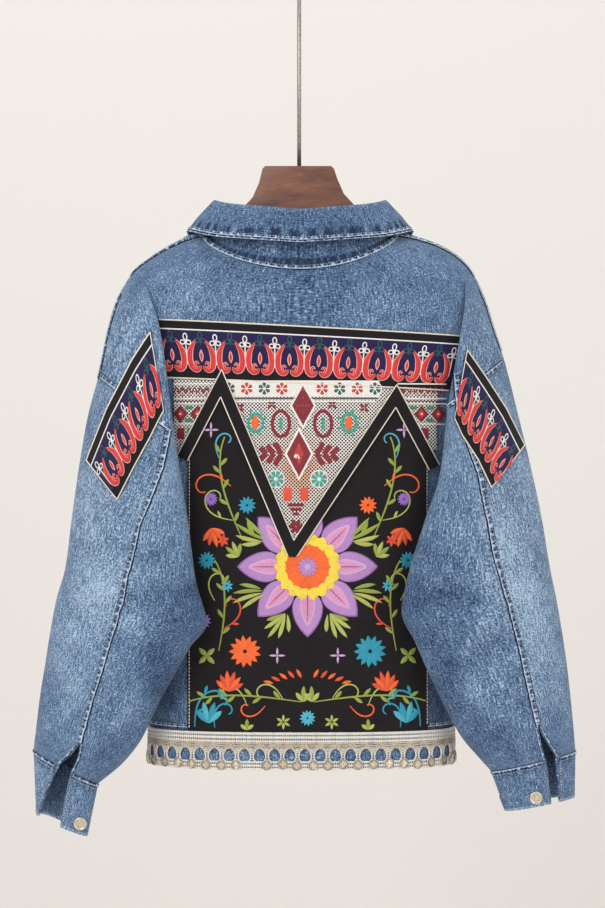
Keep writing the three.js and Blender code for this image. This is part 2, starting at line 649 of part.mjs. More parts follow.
// A cuff: an open band whose gap faces the back, from the sleeve's end to its own lower edge.
function addCuff(name, side) {
  const lastRow = side.rows.at(-1);
  const above = { ...lastRow, outerZ: lastRow.outerZ - SEAM_GAP, innerZ: lastRow.innerZ - SEAM_GAP };
  const steps = 22;
  const angleOf = (share) => Math.acos(1 - 2 * share);
  const corner = (row, gap, way, inset) => {
    const angle = mix(angleOf(gap[1]), angleOf(gap[0]) + 2 * Math.PI, way);
    const [x, y, z] = sleevePoint(row, angle);
    const before = sleevePoint(row, angle - 0.05);
    const after = sleevePoint(row, angle + 0.05);
    const length = Math.hypot(after[0] - before[0], after[1] - before[1]) * -handOf(row);
    const inX = ((before[1] - after[1]) / length) * inset;
    const inY = ((after[0] - before[0]) / length) * inset;
    const tilt = (row.innerZ - row.outerZ) / (row.innerX - row.outerX);
    return [x + inX, y + inY, z + tilt * inX];
  };
  const sections = [];
  for (let i = 0; i <= steps; i += 1) {
    const way = i / steps;
    sections.push([
      corner(above, side.cuff.gapAbove, way, 0),
      corner(side.cuff, side.cuff.gapBelow, way, 0),
      corner(side.cuff, side.cuff.gapBelow, way, DOUBLE_DENIM),
      corner(above, side.cuff.gapAbove, way, DOUBLE_DENIM),
    ]);
  }
  addPiece(`cuff_${name}`, wrapGeometry(sections), DENIM_BLUE);
}
for (const [name, side] of Object.entries(sleeveSides)) addCuff(name, side);

// The height at which the torso's surface passes a place seen from above.
function torsoHeight(x, y) {
  const outside = (z) => {
    let i = 0;
    while (i < TORSO.length - 2 && z < TORSO[i + 1].z) i += 1;
    const [above, below] = [TORSO[i], TORSO[i + 1]];
    const at = (key) => mix(above[key], below[key], (z - above.z) / (below.z - above.z));
    const half = (at("right") - at("left")) / 2;
    const middle = (at("right") + at("left")) / 2;
    const depth = y < 0 ? at("back") : at("front");
    return (Math.abs(x - middle) / half) ** at("square") + (Math.abs(y) / depth) ** at("square") > 1;
  };
  let [high, low] = [TORSO[0].z, HEM];
  for (let pass = 0; pass < 24; pass += 1) {
    const z = (high + low) / 2;
    if (outside(z)) high = z;
    else low = z;
  }
  return (high + low) / 2;
}

// The collar, by its way round the neck: 0 at the middle of the back, 1 at the front's edge.
// fold is the fold line's height, lean how far the stand leans in, drop and flare place the fall's edge.
const COLLAR = [
  { way: 0, fold: -273, lean: 6, drop: 37, flare: 15 },
  { way: 0.25, fold: -266, lean: 9, drop: 37, flare: 20 },
  { way: 0.5, fold: -259, lean: 11, drop: 34, flare: 31 },
  { way: 0.75, fold: -312, lean: 7, drop: 52, flare: 24 },
  { way: 1, fold: -380, lean: 4, drop: 66, flare: 18 },
];
const COLLAR_CLOTH = 2;
const COLLAR_STEPS = 28;
const STAND_LAP = 7; // how far the stand reaches down inside the neckline
const FRONT_EDGE = 0.05; // where the collar ends, short of the front's middle, in radians

function collarRow(way) {
  let i = 0;
  while (i < COLLAR.length - 2 && way > COLLAR[i + 1].way) i += 1;
  const part = (way - COLLAR[i].way) / (COLLAR[i + 1].way - COLLAR[i].way);
  const smooth = part * part * (3 - 2 * part);
  const row = {};
  for (const key of Object.keys(COLLAR[0])) row[key] = mix(COLLAR[i][key], COLLAR[i + 1][key], smooth);
  return row;
}

function collarSections(sectionAt) {
  const sections = [];
  for (let i = 0; i <= COLLAR_STEPS; i += 1) {
    const turn = mix(FRONT_EDGE - Math.PI, Math.PI - FRONT_EDGE, i / COLLAR_STEPS);
    const angle = turn - Math.PI / 2;
    sections.push(sectionAt(angle, collarRow(Math.abs(turn) / Math.PI)));
  }
  return sections;
}

// The stand: from inside the neckline up to the fold line.
const standSections = collarSections((angle, row) => {
  const [x, y] = neckPoint(angle);
  const base = torsoHeight(x, y) - STAND_LAP;
  const top = row.fold - COLLAR_CLOTH;
  const outside = SEAM_GAP + 0.1;
  return [
    [...neckPoint(angle, outside), base],
    [...neckPoint(angle, row.lean), top],
    [...neckPoint(angle, row.lean + COLLAR_CLOTH), top],
    [...neckPoint(angle, outside + COLLAR_CLOTH), base],
  ];
});
addPiece("collar_stand", wrapGeometry(standSections), DENIM_BLUE);

// The fall: over the stand's edge and down outside it, and on to the shoulders and fronts.
const fallSections = collarSections((angle, row) => {
  const across = [
    { out: -COLLAR_CLOTH, down: -0.2 },
    { out: 0.5, down: -1.2 },
    { out: 4, down: 1.5 },
    { out: mix(4, row.flare, 0.5), down: mix(1.5, row.drop, 0.48) },
    { out: row.flare, down: row.drop },
  ].map(({ out, down }) => {
    const [x, y] = neckPoint(angle, row.lean - out);
    const rest = down > 2 ? torsoHeight(x, y) + 2.5 * COLLAR_CLOTH : HEM;
    return { shrink: row.lean - out, z: Math.max(row.fold - down, rest) };
  });
  const side = (sign) =>
    across.map((place, i) => {
      const before = across[Math.max(i - 1, 0)];
      const after = across[Math.min(i + 1, across.length - 1)];
      const length = Math.hypot(after.shrink - before.shrink, after.z - before.z);
      const half = (sign * COLLAR_CLOTH) / 2 / length;
      const [x, y] = neckPoint(angle, place.shrink + (after.z - before.z) * half);
      return [x, y, place.z - (after.shrink - before.shrink) * half];
    });
  return [...side(1), ...side(-1).reverse()];
});
addPiece("collar_fall", wrapGeometry(fallSections), DENIM_BLUE);

// The front's placket and its buttons
const PLACKET_WIDTH = 38;
const PLACKET_TOP = -424;
const placketPattern = columnPattern(
  columnsBetween([-PLACKET_WIDTH / 2, PLACKET_WIDTH / 2], COLUMN),
  () => PLACKET_TOP,
  () => PANEL_LOW,
  10,
);
addPiece("front_placket", sheetGeometry(placketPattern, onFront, TRIM_LIFT, DENIM), DENIM_BLUE);

// A shank button: a domed face over a short foot, its face turned to a given direction.
function buttonGeometry(radius, height, place, direction) {
  const profile = [[0, 0], [0.5, 0], [0.5, 0.35], [1, 0.4], [1, 0.75], [0.8, 1], [0, 0.9]];
  const points = profile.map(([r, h]) => new THREE.Vector2(r * radius, h * height));
  const geometry = new THREE.LatheGeometry(points, 10);
  const turn = new THREE.Quaternion();
  turn.setFromUnitVectors(new THREE.Vector3(0, 1, 0), direction.normalize());
  geometry.applyQuaternion(turn);
  geometry.translate(...place);
  return geometry;
}
const FRONT_BUTTONS = [-462, -551, -640, -729, -818];
FRONT_BUTTONS.forEach((z, i) => {
  const seat = onFront(0, z, TRIM_LIFT + DENIM + 2 * SEAM_GAP);
  const button = buttonGeometry(8.5, 5, seat, new THREE.Vector3(0, 1, 0));
  addPiece(`front_button_${i + 1}`, button, PALE_METAL, 0.35, 0.9);
});

// The cuffs' buttons, near the edge of each opening.
const CUFF_BUTTONS = { left: [-241, -949], right: [259, -921] };
for (const [name, side] of Object.entries(sleeveSides)) {
  const rows = [side.rows.at(-1), side.cuff];
  const [x, z] = CUFF_BUTTONS[name];
  const [seatX, seatY, seatZ] = onSleeve(rows)(x, z, 2 * SEAM_GAP);
  const [outX, outY, outZ] = onSleeve(rows)(x, z, 1 + 2 * SEAM_GAP);
  const direction = new THREE.Vector3(outX - seatX, outY - seatY, outZ - seatZ);
  const button = buttonGeometry(7.3, 4.5, [seatX, seatY, seatZ], direction);
  addPiece(`cuff_button_${name}`, button, PALE_METAL, 0.35, 0.9);
}

// The hem's lace: a crochet band over a row of open arches, over a lower band with a coin below each arch.
const LACE = {
  pitch: 16.8, top: -847.2, archTop: -861.5, archLow: -876.5, edge: -889.5, thickness: 1.2, lift: 1.2,
};
const COIN = { radius: 5.9, raised: 1, centreZ: -883.2 };
const ARCH = [[-5.6, 0.08], [5.6, 0.08], [7, 0.5], [3.8, 0.95], [-3.8, 0.95], [-7, 0.5]];

// One half of the waistband's outline, and a place on it by its length from the half's start.
function hemPath(firstPoint) {
  const points = [];
  for (let i = 0; i <= TORSO_POINTS / 2; i += 1) {
    points.push(torsoRings.at(-2)[(firstPoint + i) % TORSO_POINTS].slice(0, 2));
  }
  const lengths = points.map(() => 0);
  for (let i = 1; i < points.length; i += 1) {
    const [before, here] = [points[i - 1], points[i]];
    lengths[i] = lengths[i - 1] + Math.hypot(here[0] - before[0], here[1] - before[1]);
  }
  const outward = (i) => {
    const [ax, ay] = points[Math.max(i - 1, 0)];
    const [bx, by] = points[Math.min(i + 1, points.length - 1)];
    const length = Math.hypot(bx - ax, by - ay);
    return [(by - ay) / length, (ax - bx) / length];
  };
  const place = (way, z, lift) => {
    let i = 1;
    while (i < points.length - 1 && lengths[i] < way) i += 1;
    const part = (way - lengths[i - 1]) / (lengths[i] - lengths[i - 1]);
    const [x, y] = mixPoint(points[i - 1], points[i], part);
    const [outX, outY] = mixPoint(outward(i - 1), outward(i), part);
    return [x + outX * lift, y + outY * lift, z];
  };
  return { length: lengths.at(-1), place };
}

function lacePattern(length) {
  const units = Math.floor((length - 2 * SEAM_GAP) / LACE.pitch);
  const pitch = (length - 2 * SEAM_GAP) / units;
  const points = [];
  const faces = [];
  const known = new Map();
  const add = (x, z, raised = 0) => {
    const key = `${x.toFixed(3)},${z.toFixed(3)}`;
    if (!known.has(key)) {
      known.set(key, points.length);
      points.push([x, z, raised]);
    }
    return known.get(key);
  };
  // A frame of six corners joined to six inner points, one to one.
  const joinRings = (frame, inner) => {
    for (let k = 0; k < 6; k += 1) {
      const n = (k + 1) % 6;
      faces.push([frame[k], frame[n], inner[n]], [frame[k], inner[n], inner[k]]);
    }
  };
  const frameOf = (left, right, low, high) => {
    const middle = (low + high) / 2;
    const corners = [[left, low], [right, low], [right, middle], [right, high], [left, high], [left, middle]];
    return corners.map(([x, z]) => add(x, z));
  };
  for (let unit = 0; unit < units; unit += 1) {
    const left = SEAM_GAP + unit * pitch;
    const right = left + pitch;
    const centre = (left + right) / 2;
    const arch = ARCH.map(([x, up]) => add(centre + x, mix(LACE.archLow, LACE.archTop, up)));
    const frame = frameOf(left, right, LACE.archLow - 0.3, LACE.archTop);
    joinRings(frame, arch);
    const coinTurns = [240, 300, 0, 60, 120, 180].map(THREE.MathUtils.degToRad);
    const coin = coinTurns.map((turn) =>
      add(centre + COIN.radius * Math.cos(turn), COIN.centreZ + COIN.radius * Math.sin(turn), COIN.raised),
    );
    joinRings(frameOf(left, right, LACE.edge, LACE.archLow - 0.3), coin);
    for (let k = 1; k < 5; k += 1) faces.push([coin[0], coin[k], coin[k + 1]]);
    const [topLeft, topRight] = [add(left, LACE.top), add(right, LACE.top)];
    faces.push([frame[4], frame[3], topRight], [frame[4], topRight, topLeft]);
  }
  return { points, faces };
}
for (const [name, firstPoint] of [["lace_back", TORSO_POINTS / 2], ["lace_front", 0]]) {
  const path = hemPath(firstPoint);
  const pattern = lacePattern(path.length);
  addPiece(name, sheetGeometry(pattern, path.place, LACE.lift, LACE.thickness), LACE_WHITE);
}

// The hanger: its arms fill the shoulders just under the cloth, its neck stands in the collar.
const HANGER = { leftEnd: -186, rightEnd: 187, halfDepth: 20, neckHalfDepth: 15, top: -221 };
const armsOutline = [
  [HANGER.leftEnd, -250], [-109, -250], [-109, -322], [109, -322], [109, -250], [HANGER.rightEnd, -250],
  [HANGER.rightEnd, -372], [120, -366], [50, -350], [-50, -350], [-120, -366], [HANGER.leftEnd, -372],
];
const neckOutline = [
  [-42, HANGER.top - 3], [-39, HANGER.top], [35, HANGER.top], [38, HANGER.top - 3], [42, -236], [49, -252],
  [61, -265], [76, -280], [86, -300], [86, -330], [-86, -330], [-86, -300], [-78, -282], [-65, -269],
  [-53, -256], [-46, -240],
];
const armRoom = torsoSolid(TORSO, DENIM + 2 * SEAM_GAP);
const arms = armRoom.intersect(prism(armsOutline, -HANGER.halfDepth, HANGER.halfDepth));
const hangerNeck = prism(neckOutline, -HANGER.neckHalfDepth, HANGER.neckHalfDepth);
const capGap = torsoSolid(TORSO, DENIM + SEAM_GAP);
const neckRoom = slab(-90, 90, -FAR, FAR, -322, 100).add(capGap);
addPiece("hanger_wood", geometryOf(arms.add(hangerNeck.intersect(neckRoom))), STAINED_WOOD, 0.5);

// The hook: a straight rod that bends aside, over the top and down to its open end.
// It is turned a quarter in the wood: its bend faces the back, so from behind it is a straight line.
const WIRE = 2.3;
const WIRE_SIDES = 8;
const HOOK = { innerRadius: 19, rodX: -1, seat: HANGER.top + SEAM_GAP };
function hookPath() {
  const radius = HOOK.innerRadius + WIRE;
  const centreZ = -HOOK.innerRadius;
  const points = [[0, HOOK.seat], [0, -130], [0, -52], [2.5, -46], [8, -41.5]];
  for (let degrees = -50; degrees <= 200; degrees += 25) {
    const turn = THREE.MathUtils.degToRad(degrees);
    points.push([radius * Math.cos(turn), centreZ + radius * Math.sin(turn)]);
  }
  return points;
}
function wireGeometry(path, radius) {
  const sections = path.map(([y, z], i) => {
    const [ay, az] = path[Math.max(i - 1, 0)];
    const [by, bz] = path[Math.min(i + 1, path.length - 1)];
    const length = Math.hypot(by - ay, bz - az);
    const [sideY, sideZ] = [(bz - az) / length, (ay - by) / length];
    return Array.from({ length: WIRE_SIDES }, (_, k) => {
      const turn = (2 * Math.PI * k) / WIRE_SIDES;
      const aside = radius * Math.cos(turn);
      return [HOOK.rodX + radius * Math.sin(turn), y + sideY * aside, z + sideZ * aside];
    });
  });
  return loftGeometry(sections, "fan");
}
addPiece("hanger_hook", wireGeometry(hookPath(), WIRE), STEEL, 0.4, 0.9);

export default jacket;
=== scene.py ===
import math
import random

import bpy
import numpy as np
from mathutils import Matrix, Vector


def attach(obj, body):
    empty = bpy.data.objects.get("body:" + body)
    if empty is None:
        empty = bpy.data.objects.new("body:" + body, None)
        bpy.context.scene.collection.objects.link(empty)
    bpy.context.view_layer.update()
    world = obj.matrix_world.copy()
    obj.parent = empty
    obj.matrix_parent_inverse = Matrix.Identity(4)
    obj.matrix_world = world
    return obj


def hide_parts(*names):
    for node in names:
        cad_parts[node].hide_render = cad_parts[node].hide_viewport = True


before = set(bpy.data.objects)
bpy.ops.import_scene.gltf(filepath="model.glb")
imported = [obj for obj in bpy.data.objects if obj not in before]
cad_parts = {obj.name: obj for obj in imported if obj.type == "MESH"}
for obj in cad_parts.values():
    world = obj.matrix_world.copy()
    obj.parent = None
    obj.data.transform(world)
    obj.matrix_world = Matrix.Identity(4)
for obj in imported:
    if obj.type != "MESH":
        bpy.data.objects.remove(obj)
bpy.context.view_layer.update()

# %% [markdown]
# # An embroidered denim jacket on a wooden hanger
#
# The jacket hangs with its back to us. Its pieces of cloth are laid out flat first, as they come from
# the cutting table, and then every piece is put in its place round the hanger. After that come the
# seams, the trims with their embroidery, the coin lace, the buttons and the hanger. Sizes are in
# millimetres until a mesh is made, because a tailor thinks in them.

MM = 0.001

# %% [markdown]
# ## Smooth lines through a few measured places
#
# A pattern maker measures a body at a few levels and draws a fair curve through the marks with a
# French curve. The curve here is a cubic that never swings past a mark, so a sleeve measured at
# fifteen places comes out without bumps between them.

# %% The fair curve
def fair_curve(places, values, at):
    places, values = np.asarray(places, float), np.asarray(values, float)
    steps = np.diff(places)
    rises = np.diff(values) / steps
    turning = rises[1:] * rises[:-1] <= 0
    total = np.where(turning, 1, rises[1:] + rises[:-1])
    slopes = np.empty(len(values))
    slopes[0], slopes[-1] = rises[0], rises[-1]
    slopes[1:-1] = np.where(turning, 0, 2 * rises[1:] * rises[:-1] / total)
    i = np.clip(np.searchsorted(places, at, side="right") - 1, 0, len(steps) - 1)
    t = (at - places[i]) / steps[i]
    rest = 1 - t
    return (
        values[i] * rest**2 * (1 + 2 * t)
        + values[i + 1] * t**2 * (3 - 2 * t)
        + steps[i] * t * rest * (slopes[i] * rest - slopes[i + 1] * t)
    )


def mix(a, b, t):
    return a + (b - a) * t


def signed_power(value, power):
    return np.sign(value) * np.abs(value) ** power


# %% [markdown]
# ## Creases
#
# Washed denim keeps soft creases where it bends: across the elbow, in the pleat that falls from each
# shoulder, and short puckers above a cuff. Each one is a shallow trough (depth over zero) or a ridge,
# long one way and narrow the other. They are placed one by one, none like its neighbour. The first rows
# are the large folds, the rest are the small ones.

# %% The crease table: place, turn in degrees, length, width, depth, and the side (-1 is the back's)
CREASES = np.array([
    (-200, -640, 62, 60, 13, 5, -1), (-170, -705, 12, 50, 12, 7, -1), (-215, -740, -28, 55, 13, 5, -1),
    (-240, -825, 70, 50, 12, 5, -1), (-195, -560, 66, 65, 12, -4, -1), (205, -650, -60, 60, 13, 5, -1),
    (180, -700, -10, 52, 12, 7, -1), (225, -745, 30, 55, 13, 5, -1), (250, -820, -72, 50, 12, 5, -1),
    (205, -560, -66, 65, 12, -4, -1), (-205, -690, 10, 60, 14, -6, 1), (215, -690, -10, 60, 14, -6, 1),
    (-95, -640, 80, 150, 16, -5, 1), (98, -660, -80, 150, 16, -5, 1),
    (-231, -590, 70, 40, 8, 2.4, -1), (-262, -700, 76, 46, 7, -2.2, -1), (-150, -760, 35, 34, 7, 2.6, -1),
    (-183, -812, 58, 38, 8, -2.6, -1), (-268, -800, 82, 34, 6, 2, -1), (-214, -868, 40, 26, 6, 2.4, -1),
    (-238, -884, 66, 20, 5, -2.2, -1), (-277, -850, 84, 24, 6, -1.8, -1), (-160, -655, 28, 26, 7, 2.2, -1),
    (-233, -500, 72, 42, 9, 1.8, -1), (-177, -480, 78, 44, 7, -1.8, -1), (-214, -442, 60, 26, 7, 1.5, -1),
    (-186, -388, 70, 28, 7, 1.6, -1), (-205, -410, 64, 22, 6, -1.4, -1), (-140, -690, -8, 20, 6, 2, -1),
    (-248, -765, -36, 32, 8, 2.4, -1), (-192, -720, -52, 26, 7, -2.2, -1), (-164, -606, 70, 40, 8, -2, -1),
    (240, -600, -72, 42, 8, 2.4, -1), (274, -705, -78, 44, 7, -2.2, -1), (160, -762, -32, 30, 7, 2.6, -1),
    (196, -806, -56, 40, 8, -2.6, -1), (284, -796, -84, 34, 6, 2, -1), (223, -862, -38, 28, 6, 2.4, -1),
    (248, -876, -62, 20, 5, -2.2, -1), (288, -846, -84, 26, 6, -1.8, -1), (164, -660, -26, 28, 7, 2.2, -1),
    (246, -508, -70, 42, 9, 1.8, -1), (190, -488, -80, 40, 7, -1.8, -1), (222, -446, -62, 24, 7, 1.5, -1),
    (196, -392, -72, 26, 7, 1.6, -1), (146, -700, 10, 20, 6, 2, -1), (258, -768, 38, 32, 8, 2.4, -1),
    (200, -728, 50, 26, 7, -2.2, -1), (176, -612, -70, 42, 8, -2, -1),
    (-92, -352, 58, 24, 7, 1.3, -1), (-40, -352, 84, 20, 6, 1.1, -1), (22, -350, 96, 20, 6, -1.1, -1),
    (78, -354, -62, 26, 7, 1.2, -1), (128, -362, -50, 24, 7, -1.2, -1), (-132, -366, 52, 22, 7, -1.3, -1),
    (-231, -600, 70, 44, 9, 3, 1), (-176, -746, 20, 40, 9, 3, 1), (-244, -800, 72, 38, 8, -2.4, 1),
    (240, -610, -70, 44, 9, 3, 1), (180, -752, -22, 40, 9, 3, 1), (256, -806, -72, 38, 8, -2.4, 1),
    (-60, -520, 86, 90, 10, 1.8, 1), (64, -560, -84, 96, 11, 1.8, 1), (-128, -470, 66, 46, 10, 2.4, 1),
    (130, -474, -64, 48, 10, 2.4, 1), (-136, -780, 88, 50, 10, -2, 1), (134, -776, -86, 52, 10, -2, 1),
], float)


def crease_height(x, z, side):
    """How far the cloth stands out (over zero) or in at a place, towards the side it faces."""
    x, z = np.asarray(x, float), np.asarray(z, float)
    total = np.zeros(np.broadcast(x, z).shape)
    for cx, cz, turn, long, wide, depth, faces in CREASES:
        turn = math.radians(turn)
        along = (x - cx) * math.cos(turn) + (z - cz) * math.sin(turn)
        across = (z - cz) * math.cos(turn) - (x - cx) * math.sin(turn)
        dent = depth * np.exp(-((along / long) ** 2) - (across / wide) ** 2)
        total -= np.where(np.asarray(side) == faces, dent, 0)
    return total


print("creases:", len(CREASES))

# %% [markdown]
# ## The body's form
#
# Each level of the body is a rounded oblong: as wide as the shoulders allow, and deeper below where
# the cloth hangs free. The corner number says how square it is: 2 is an ellipse, 3 is boxy.

# %% Body measured at each level: level, left side, right side, back, front, corner
BODY = np.array([
    (-291, -112, 112, 8, 8, 2.1), (-297, -126, 127, 17, 16, 2.2), (-309, -147, 157, 31, 26, 2.3),
    (-323, -168, 179, 42, 34, 2.4), (-341, -189, 194, 52, 42, 2.5), (-371, -203, 205, 60, 51, 2.6),
    (-410, -204, 207, 65, 60, 2.6), (-460, -195, 198, 69, 68, 2.7), (-510, -180, 184, 72, 74, 2.8),
    (-560, -169, 173, 75, 78, 2.8), (-620, -165, 169, 77, 81, 2.7), (-690, -165, 168, 78.5, 82, 2.7),
    (-770, -167, 170, 79, 81, 2.7), (-848, -168, 171, 79, 79, 2.7), (-900, -168, 171, 79, 79, 2.7),
], float)
HEM_SEAM, HEM, SHOULDER_SEAM_Y = -848, -888, -10


def body_at(z):
    return [fair_curve(-BODY[:, 0], BODY[:, column], -np.asarray(z, float)) for column in range(1, 6)]


def body_place(angle, z):
    left, right, back, front, corner = body_at(z)
    side = np.where(np.sin(angle) < 0, -1, 1)
    x = (left + right) / 2 + (right - left) / 2 * signed_power(np.cos(angle), 2 / corner)
    y = np.where(side < 0, back, front) * signed_power(np.sin(angle), 2 / corner)
    y = y + side * crease_height(x, z, side) * np.abs(np.sin(angle))
    return np.stack([x, y, np.broadcast_to(z, x.shape)], -1)


def body_y(x, z, side):
    left, right, back, front, corner = body_at(z)
    reach = np.clip(np.abs((x - (left + right) / 2) / ((right - left) / 2)), 0, 0.9999)
    sine = np.sqrt(1 - reach**corner)
    depth = back if side < 0 else front
    return side * (depth * sine ** (2 / corner) + crease_height(x, z, side) * sine)


def lifted(surface_y, side):
    """Puts a place given as seen from behind on a surface, some way out from it."""
    def place(x, z, lift=0.0):
        x, z = np.asarray(x, float), np.asarray(z, float)
        reach = 3.0
        slope_x = (surface_y(x + reach, z) - surface_y(x - reach, z)) / (2 * reach)
        slope_z = (surface_y(x, z + reach) - surface_y(x, z - reach)) / (2 * reach)
        out = side * np.asarray(lift) / np.sqrt(slope_x**2 + 1 + slope_z**2)
        return np.stack([x - slope_x * out, surface_y(x, z) + out, z - slope_z * out], -1)
    return place


on_back = lifted(lambda x, z: body_y(x, z, -1), -1)
on_front = lifted(lambda x, z: body_y(x, z, 1), 1)
print("the back at chest height:", np.round(on_back(0, -500), 1))

# %% [markdown]
# ## The sleeves' form
#
# A dropped sleeve hangs beside the body and swings in front of the back, where its inner edge makes
# the long pleat. Each section runs from the outer edge, which is the silhouette, to that inner fold.
# The last column says where the sleeve's back seam lies between the two.

# %% Sleeves measured at each section: outer x z y, inner x z y, swell near and far, seam
SLEEVES = {
    "left": np.array([
        (-190, -342, -3, -176, -342, -20, 5, 6, 1), (-206, -371, -3, -165, -371, -48, 12, 14, 1),
        (-215, -401, -3, -155, -401, -62, 17, 24, 1), (-226, -454, -4, -146, -454, -72, 23, 34, 1),
        (-238, -500, -6, -140, -500, -79, 27, 40, 1), (-248, -558, -8, -131, -558, -86, 30, 42, 0.83),
        (-256, -616, -10, -121, -621, -92, 31, 40, 0.6), (-263, -671, -12, -113, -680, -96, 31, 37, 0.49),
        (-273, -707, -14, -101, -726, -98, 30, 34, 0.43), (-280, -746, -16, -119, -753, -94, 28, 33, 0.44),
        (-285, -779, -18, -136, -783, -88, 27, 32, 0.45), (-290, -811, -20, -153, -813, -81, 26, 31, 0.45),
        (-294, -845, -22, -175, -858, -72, 25, 30, 0.46), (-296, -863, -24, -195, -883, -66, 24, 28, 0.5),
        (-297, -872, -25, -222, -906, -58, 22, 26, 0.55)], float),
    "right": np.array([
        (196, -343, -3, 184, -343, -22, 5, 6, 1), (208, -371, -3, 183, -371, -42, 9, 12, 1),
        (218, -403, -3, 178, -403, -56, 14, 22, 1), (230, -440, -4, 171, -440, -66, 19, 30, 1),
        (244, -496, -6, 161, -496, -75, 25, 38, 0.85), (260, -563, -8, 153, -563, -82, 29, 42, 0.6),
        (271, -616, -10, 135, -618, -89, 31, 40, 0.47), (280, -671, -12, 117, -676, -95, 31, 37, 0.37),
        (287, -706, -14, 110, -714, -98, 30, 34, 0.32), (293, -742, -16, 125, -748, -93, 28, 33, 0.32),
        (298, -777, -18, 140, -782, -87, 27, 32, 0.32), (302, -814, -20, 158, -819, -80, 26, 31, 0.32),
        (305, -847, -22, 178, -855, -72, 25, 30, 0.32), (306, -862, -24, 194, -874, -66, 24, 28, 0.32),
        (307, -874, -25, 210, -892, -60, 22, 26, 0.32)], float),
}
CUFF_EDGE = {"left": (-294, -944, -27, -234, -964, -56, 19, 23, 0),
        "right": (306, -925, -27, 226, -936, -58, 19, 23, 0)}
CUFF_GAP = {"left": ((0.42, 0.6), (0.05, 0.5)), "right": ((0.25, 0.37), (0.24, 0.36))}
SLIT_TOP = {"left": 12.4, "right": 11.8}
ARMHOLE = {
    "left": np.array([(-260, -431), (-226, -455), (-204, -471), (-138, -520)], float),
    "right": np.array([(264, -416), (230, -440), (203, -460), (158, -496)], float),
}
LAST = 14
UNDER_STARTS = {"left": 4.0, "right": 3.0}


def section_place(row, angle, lift=0.0):
    """A place on a section; angle 0 is the outer edge, pi the fold, over zero the side that we see."""
    share = (1 - np.cos(angle)) / 2
    near = np.sin(angle) >= 0
    x = mix(row[0], row[3], share)
    z = mix(row[1], row[4], share)
    sine = np.abs(np.sin(angle))
    swell = np.where(near, -row[6] * sine**0.9, row[7] * np.sin(np.pi * share**0.7) ** 1.1)
    side = np.where(near, -1, 1)
    y = mix(row[2], row[5], share) + swell + side * crease_height(x, z, side) * sine
    return np.stack([x, y + side * lift, z], -1)


def sleeve_row(hand, station):
    table = SLEEVES[hand]
    return [fair_curve(np.arange(LAST + 1), table[:, column], station) for column in range(8)]


def seam_share(hand, station):
    return np.interp(station, np.arange(LAST + 1), SLEEVES[hand][:, 8])


def seam_angle(hand, station, edge):
    """The back seam's angle; below the slit's top it parts into two edges, 0 outside and 1 inside."""
    share = seam_share(hand, station)
    parted = np.clip((station - SLIT_TOP[hand]) / (LAST - SLIT_TOP[hand]), 0, 1)
    share = share + (CUFF_GAP[hand][0][edge] - SLEEVES[hand][-1, 8]) * parted
    return np.arccos(1 - 2 * np.clip(share, 0, 1))


def shoulder_angle(hand, station):
    """Where the shoulder seam runs down the cap, a little behind the silhouette."""
    angles = np.linspace(0.02, 1.2, 50)
    rows = [np.asarray(part)[..., None] for part in sleeve_row(hand, station)]
    depth = section_place(rows, angles)[..., 1]
    return angles[np.argmax(depth < SHOULDER_SEAM_Y, axis=-1)]


def armhole_height(hand, x):
    line = ARMHOLE[hand]
    order = np.argsort(line[:, 0])
    return np.interp(x, line[order, 0], line[order, 1])


def armhole_station(hand, place_at, columns):
    """The station at which each column of a sleeve crosses the armhole seam."""
    stations = np.linspace(0, 8, 321)
    places = place_at(columns[:, None], stations[None, :])
    below = places[..., 2] < armhole_height(hand, places[..., 0])
    return stations[np.argmax(below, axis=1)]


def sleeve_surface(hand):
    """The sleeve's outside as depths over places seen from behind, for what lies on it."""
    stations = np.linspace(0, LAST + 1, 301)
    rows = np.array(sleeve_row(hand, stations))

    def surface_y(x, z):
        x, z = np.broadcast_arrays(np.asarray(x, float), np.asarray(z, float))
        shape = x.shape
        x, z = x.ravel(), z.ravel()
        share = np.full(x.shape, 0.5)
        for _ in range(8):
            levels = rows[1] + (rows[4] - rows[1]) * share[:, None]
            i = np.clip((levels > z[:, None]).sum(1) - 1, 0, len(stations) - 2)
            picked = np.arange(len(x))
            part = np.clip((levels[picked, i] - z) / (levels[picked, i] - levels[picked, i + 1]), 0, 1)
            row = [mix(column[i], column[i + 1], part) for column in rows]
            share = np.clip((x - row[0]) / (row[3] - row[0]), 0.005, 0.995)
        return section_place(row, np.arccos(1 - 2 * share))[..., 1].reshape(shape)
    return surface_y


on_sleeve = {hand: lifted(sleeve_surface(hand), -1) for hand in SLEEVES}
print("a place on the left sleeve:", np.round(on_sleeve["left"](-200, -500), 1))

# %% [markdown]
# ## Finishes
#
# A small helper lets a finish be written like a sum: noise times one colour plus another. Colours are
# given as they look (0 to 255) and turned into light amounts. Every finish starts from fibre, weave
# or grain in real sizes, read from the cloth's own length and width, so the slubs of the denim run
# down each cut piece whichever way that piece hangs.

# %% Writing a finish as sums
def light(red, green, blue):
    def amount(value):
        value /= 255
        return value / 12.92 if value <= 0.04045 else ((value + 0.055) / 1.055) ** 2.4
    return (amount(red), amount(green), amount(blue), 1)


class Flow:
    """One output in a finish; sums with it add Math nodes."""
    def __init__(self, finish, socket):
        self.finish, self.socket = finish, socket

    def maths(self, operation, first, second=0.0):
        return self.finish.add("ShaderNodeMath", {"operation": operation}, {0: first, 1: second})

    def __add__(self, other): return self.maths("ADD", self, other)
    def __radd__(self, other): return self.maths("ADD", other, self)
    def __sub__(self, other): return self.maths("SUBTRACT", self, other)
    def __rsub__(self, other): return self.maths("SUBTRACT", other, self)
    def __mul__(self, other): return self.maths("MULTIPLY", self, other)
    def __rmul__(self, other): return self.maths("MULTIPLY", other, self)
    def __pow__(self, other): return self.maths("POWER", self, other)


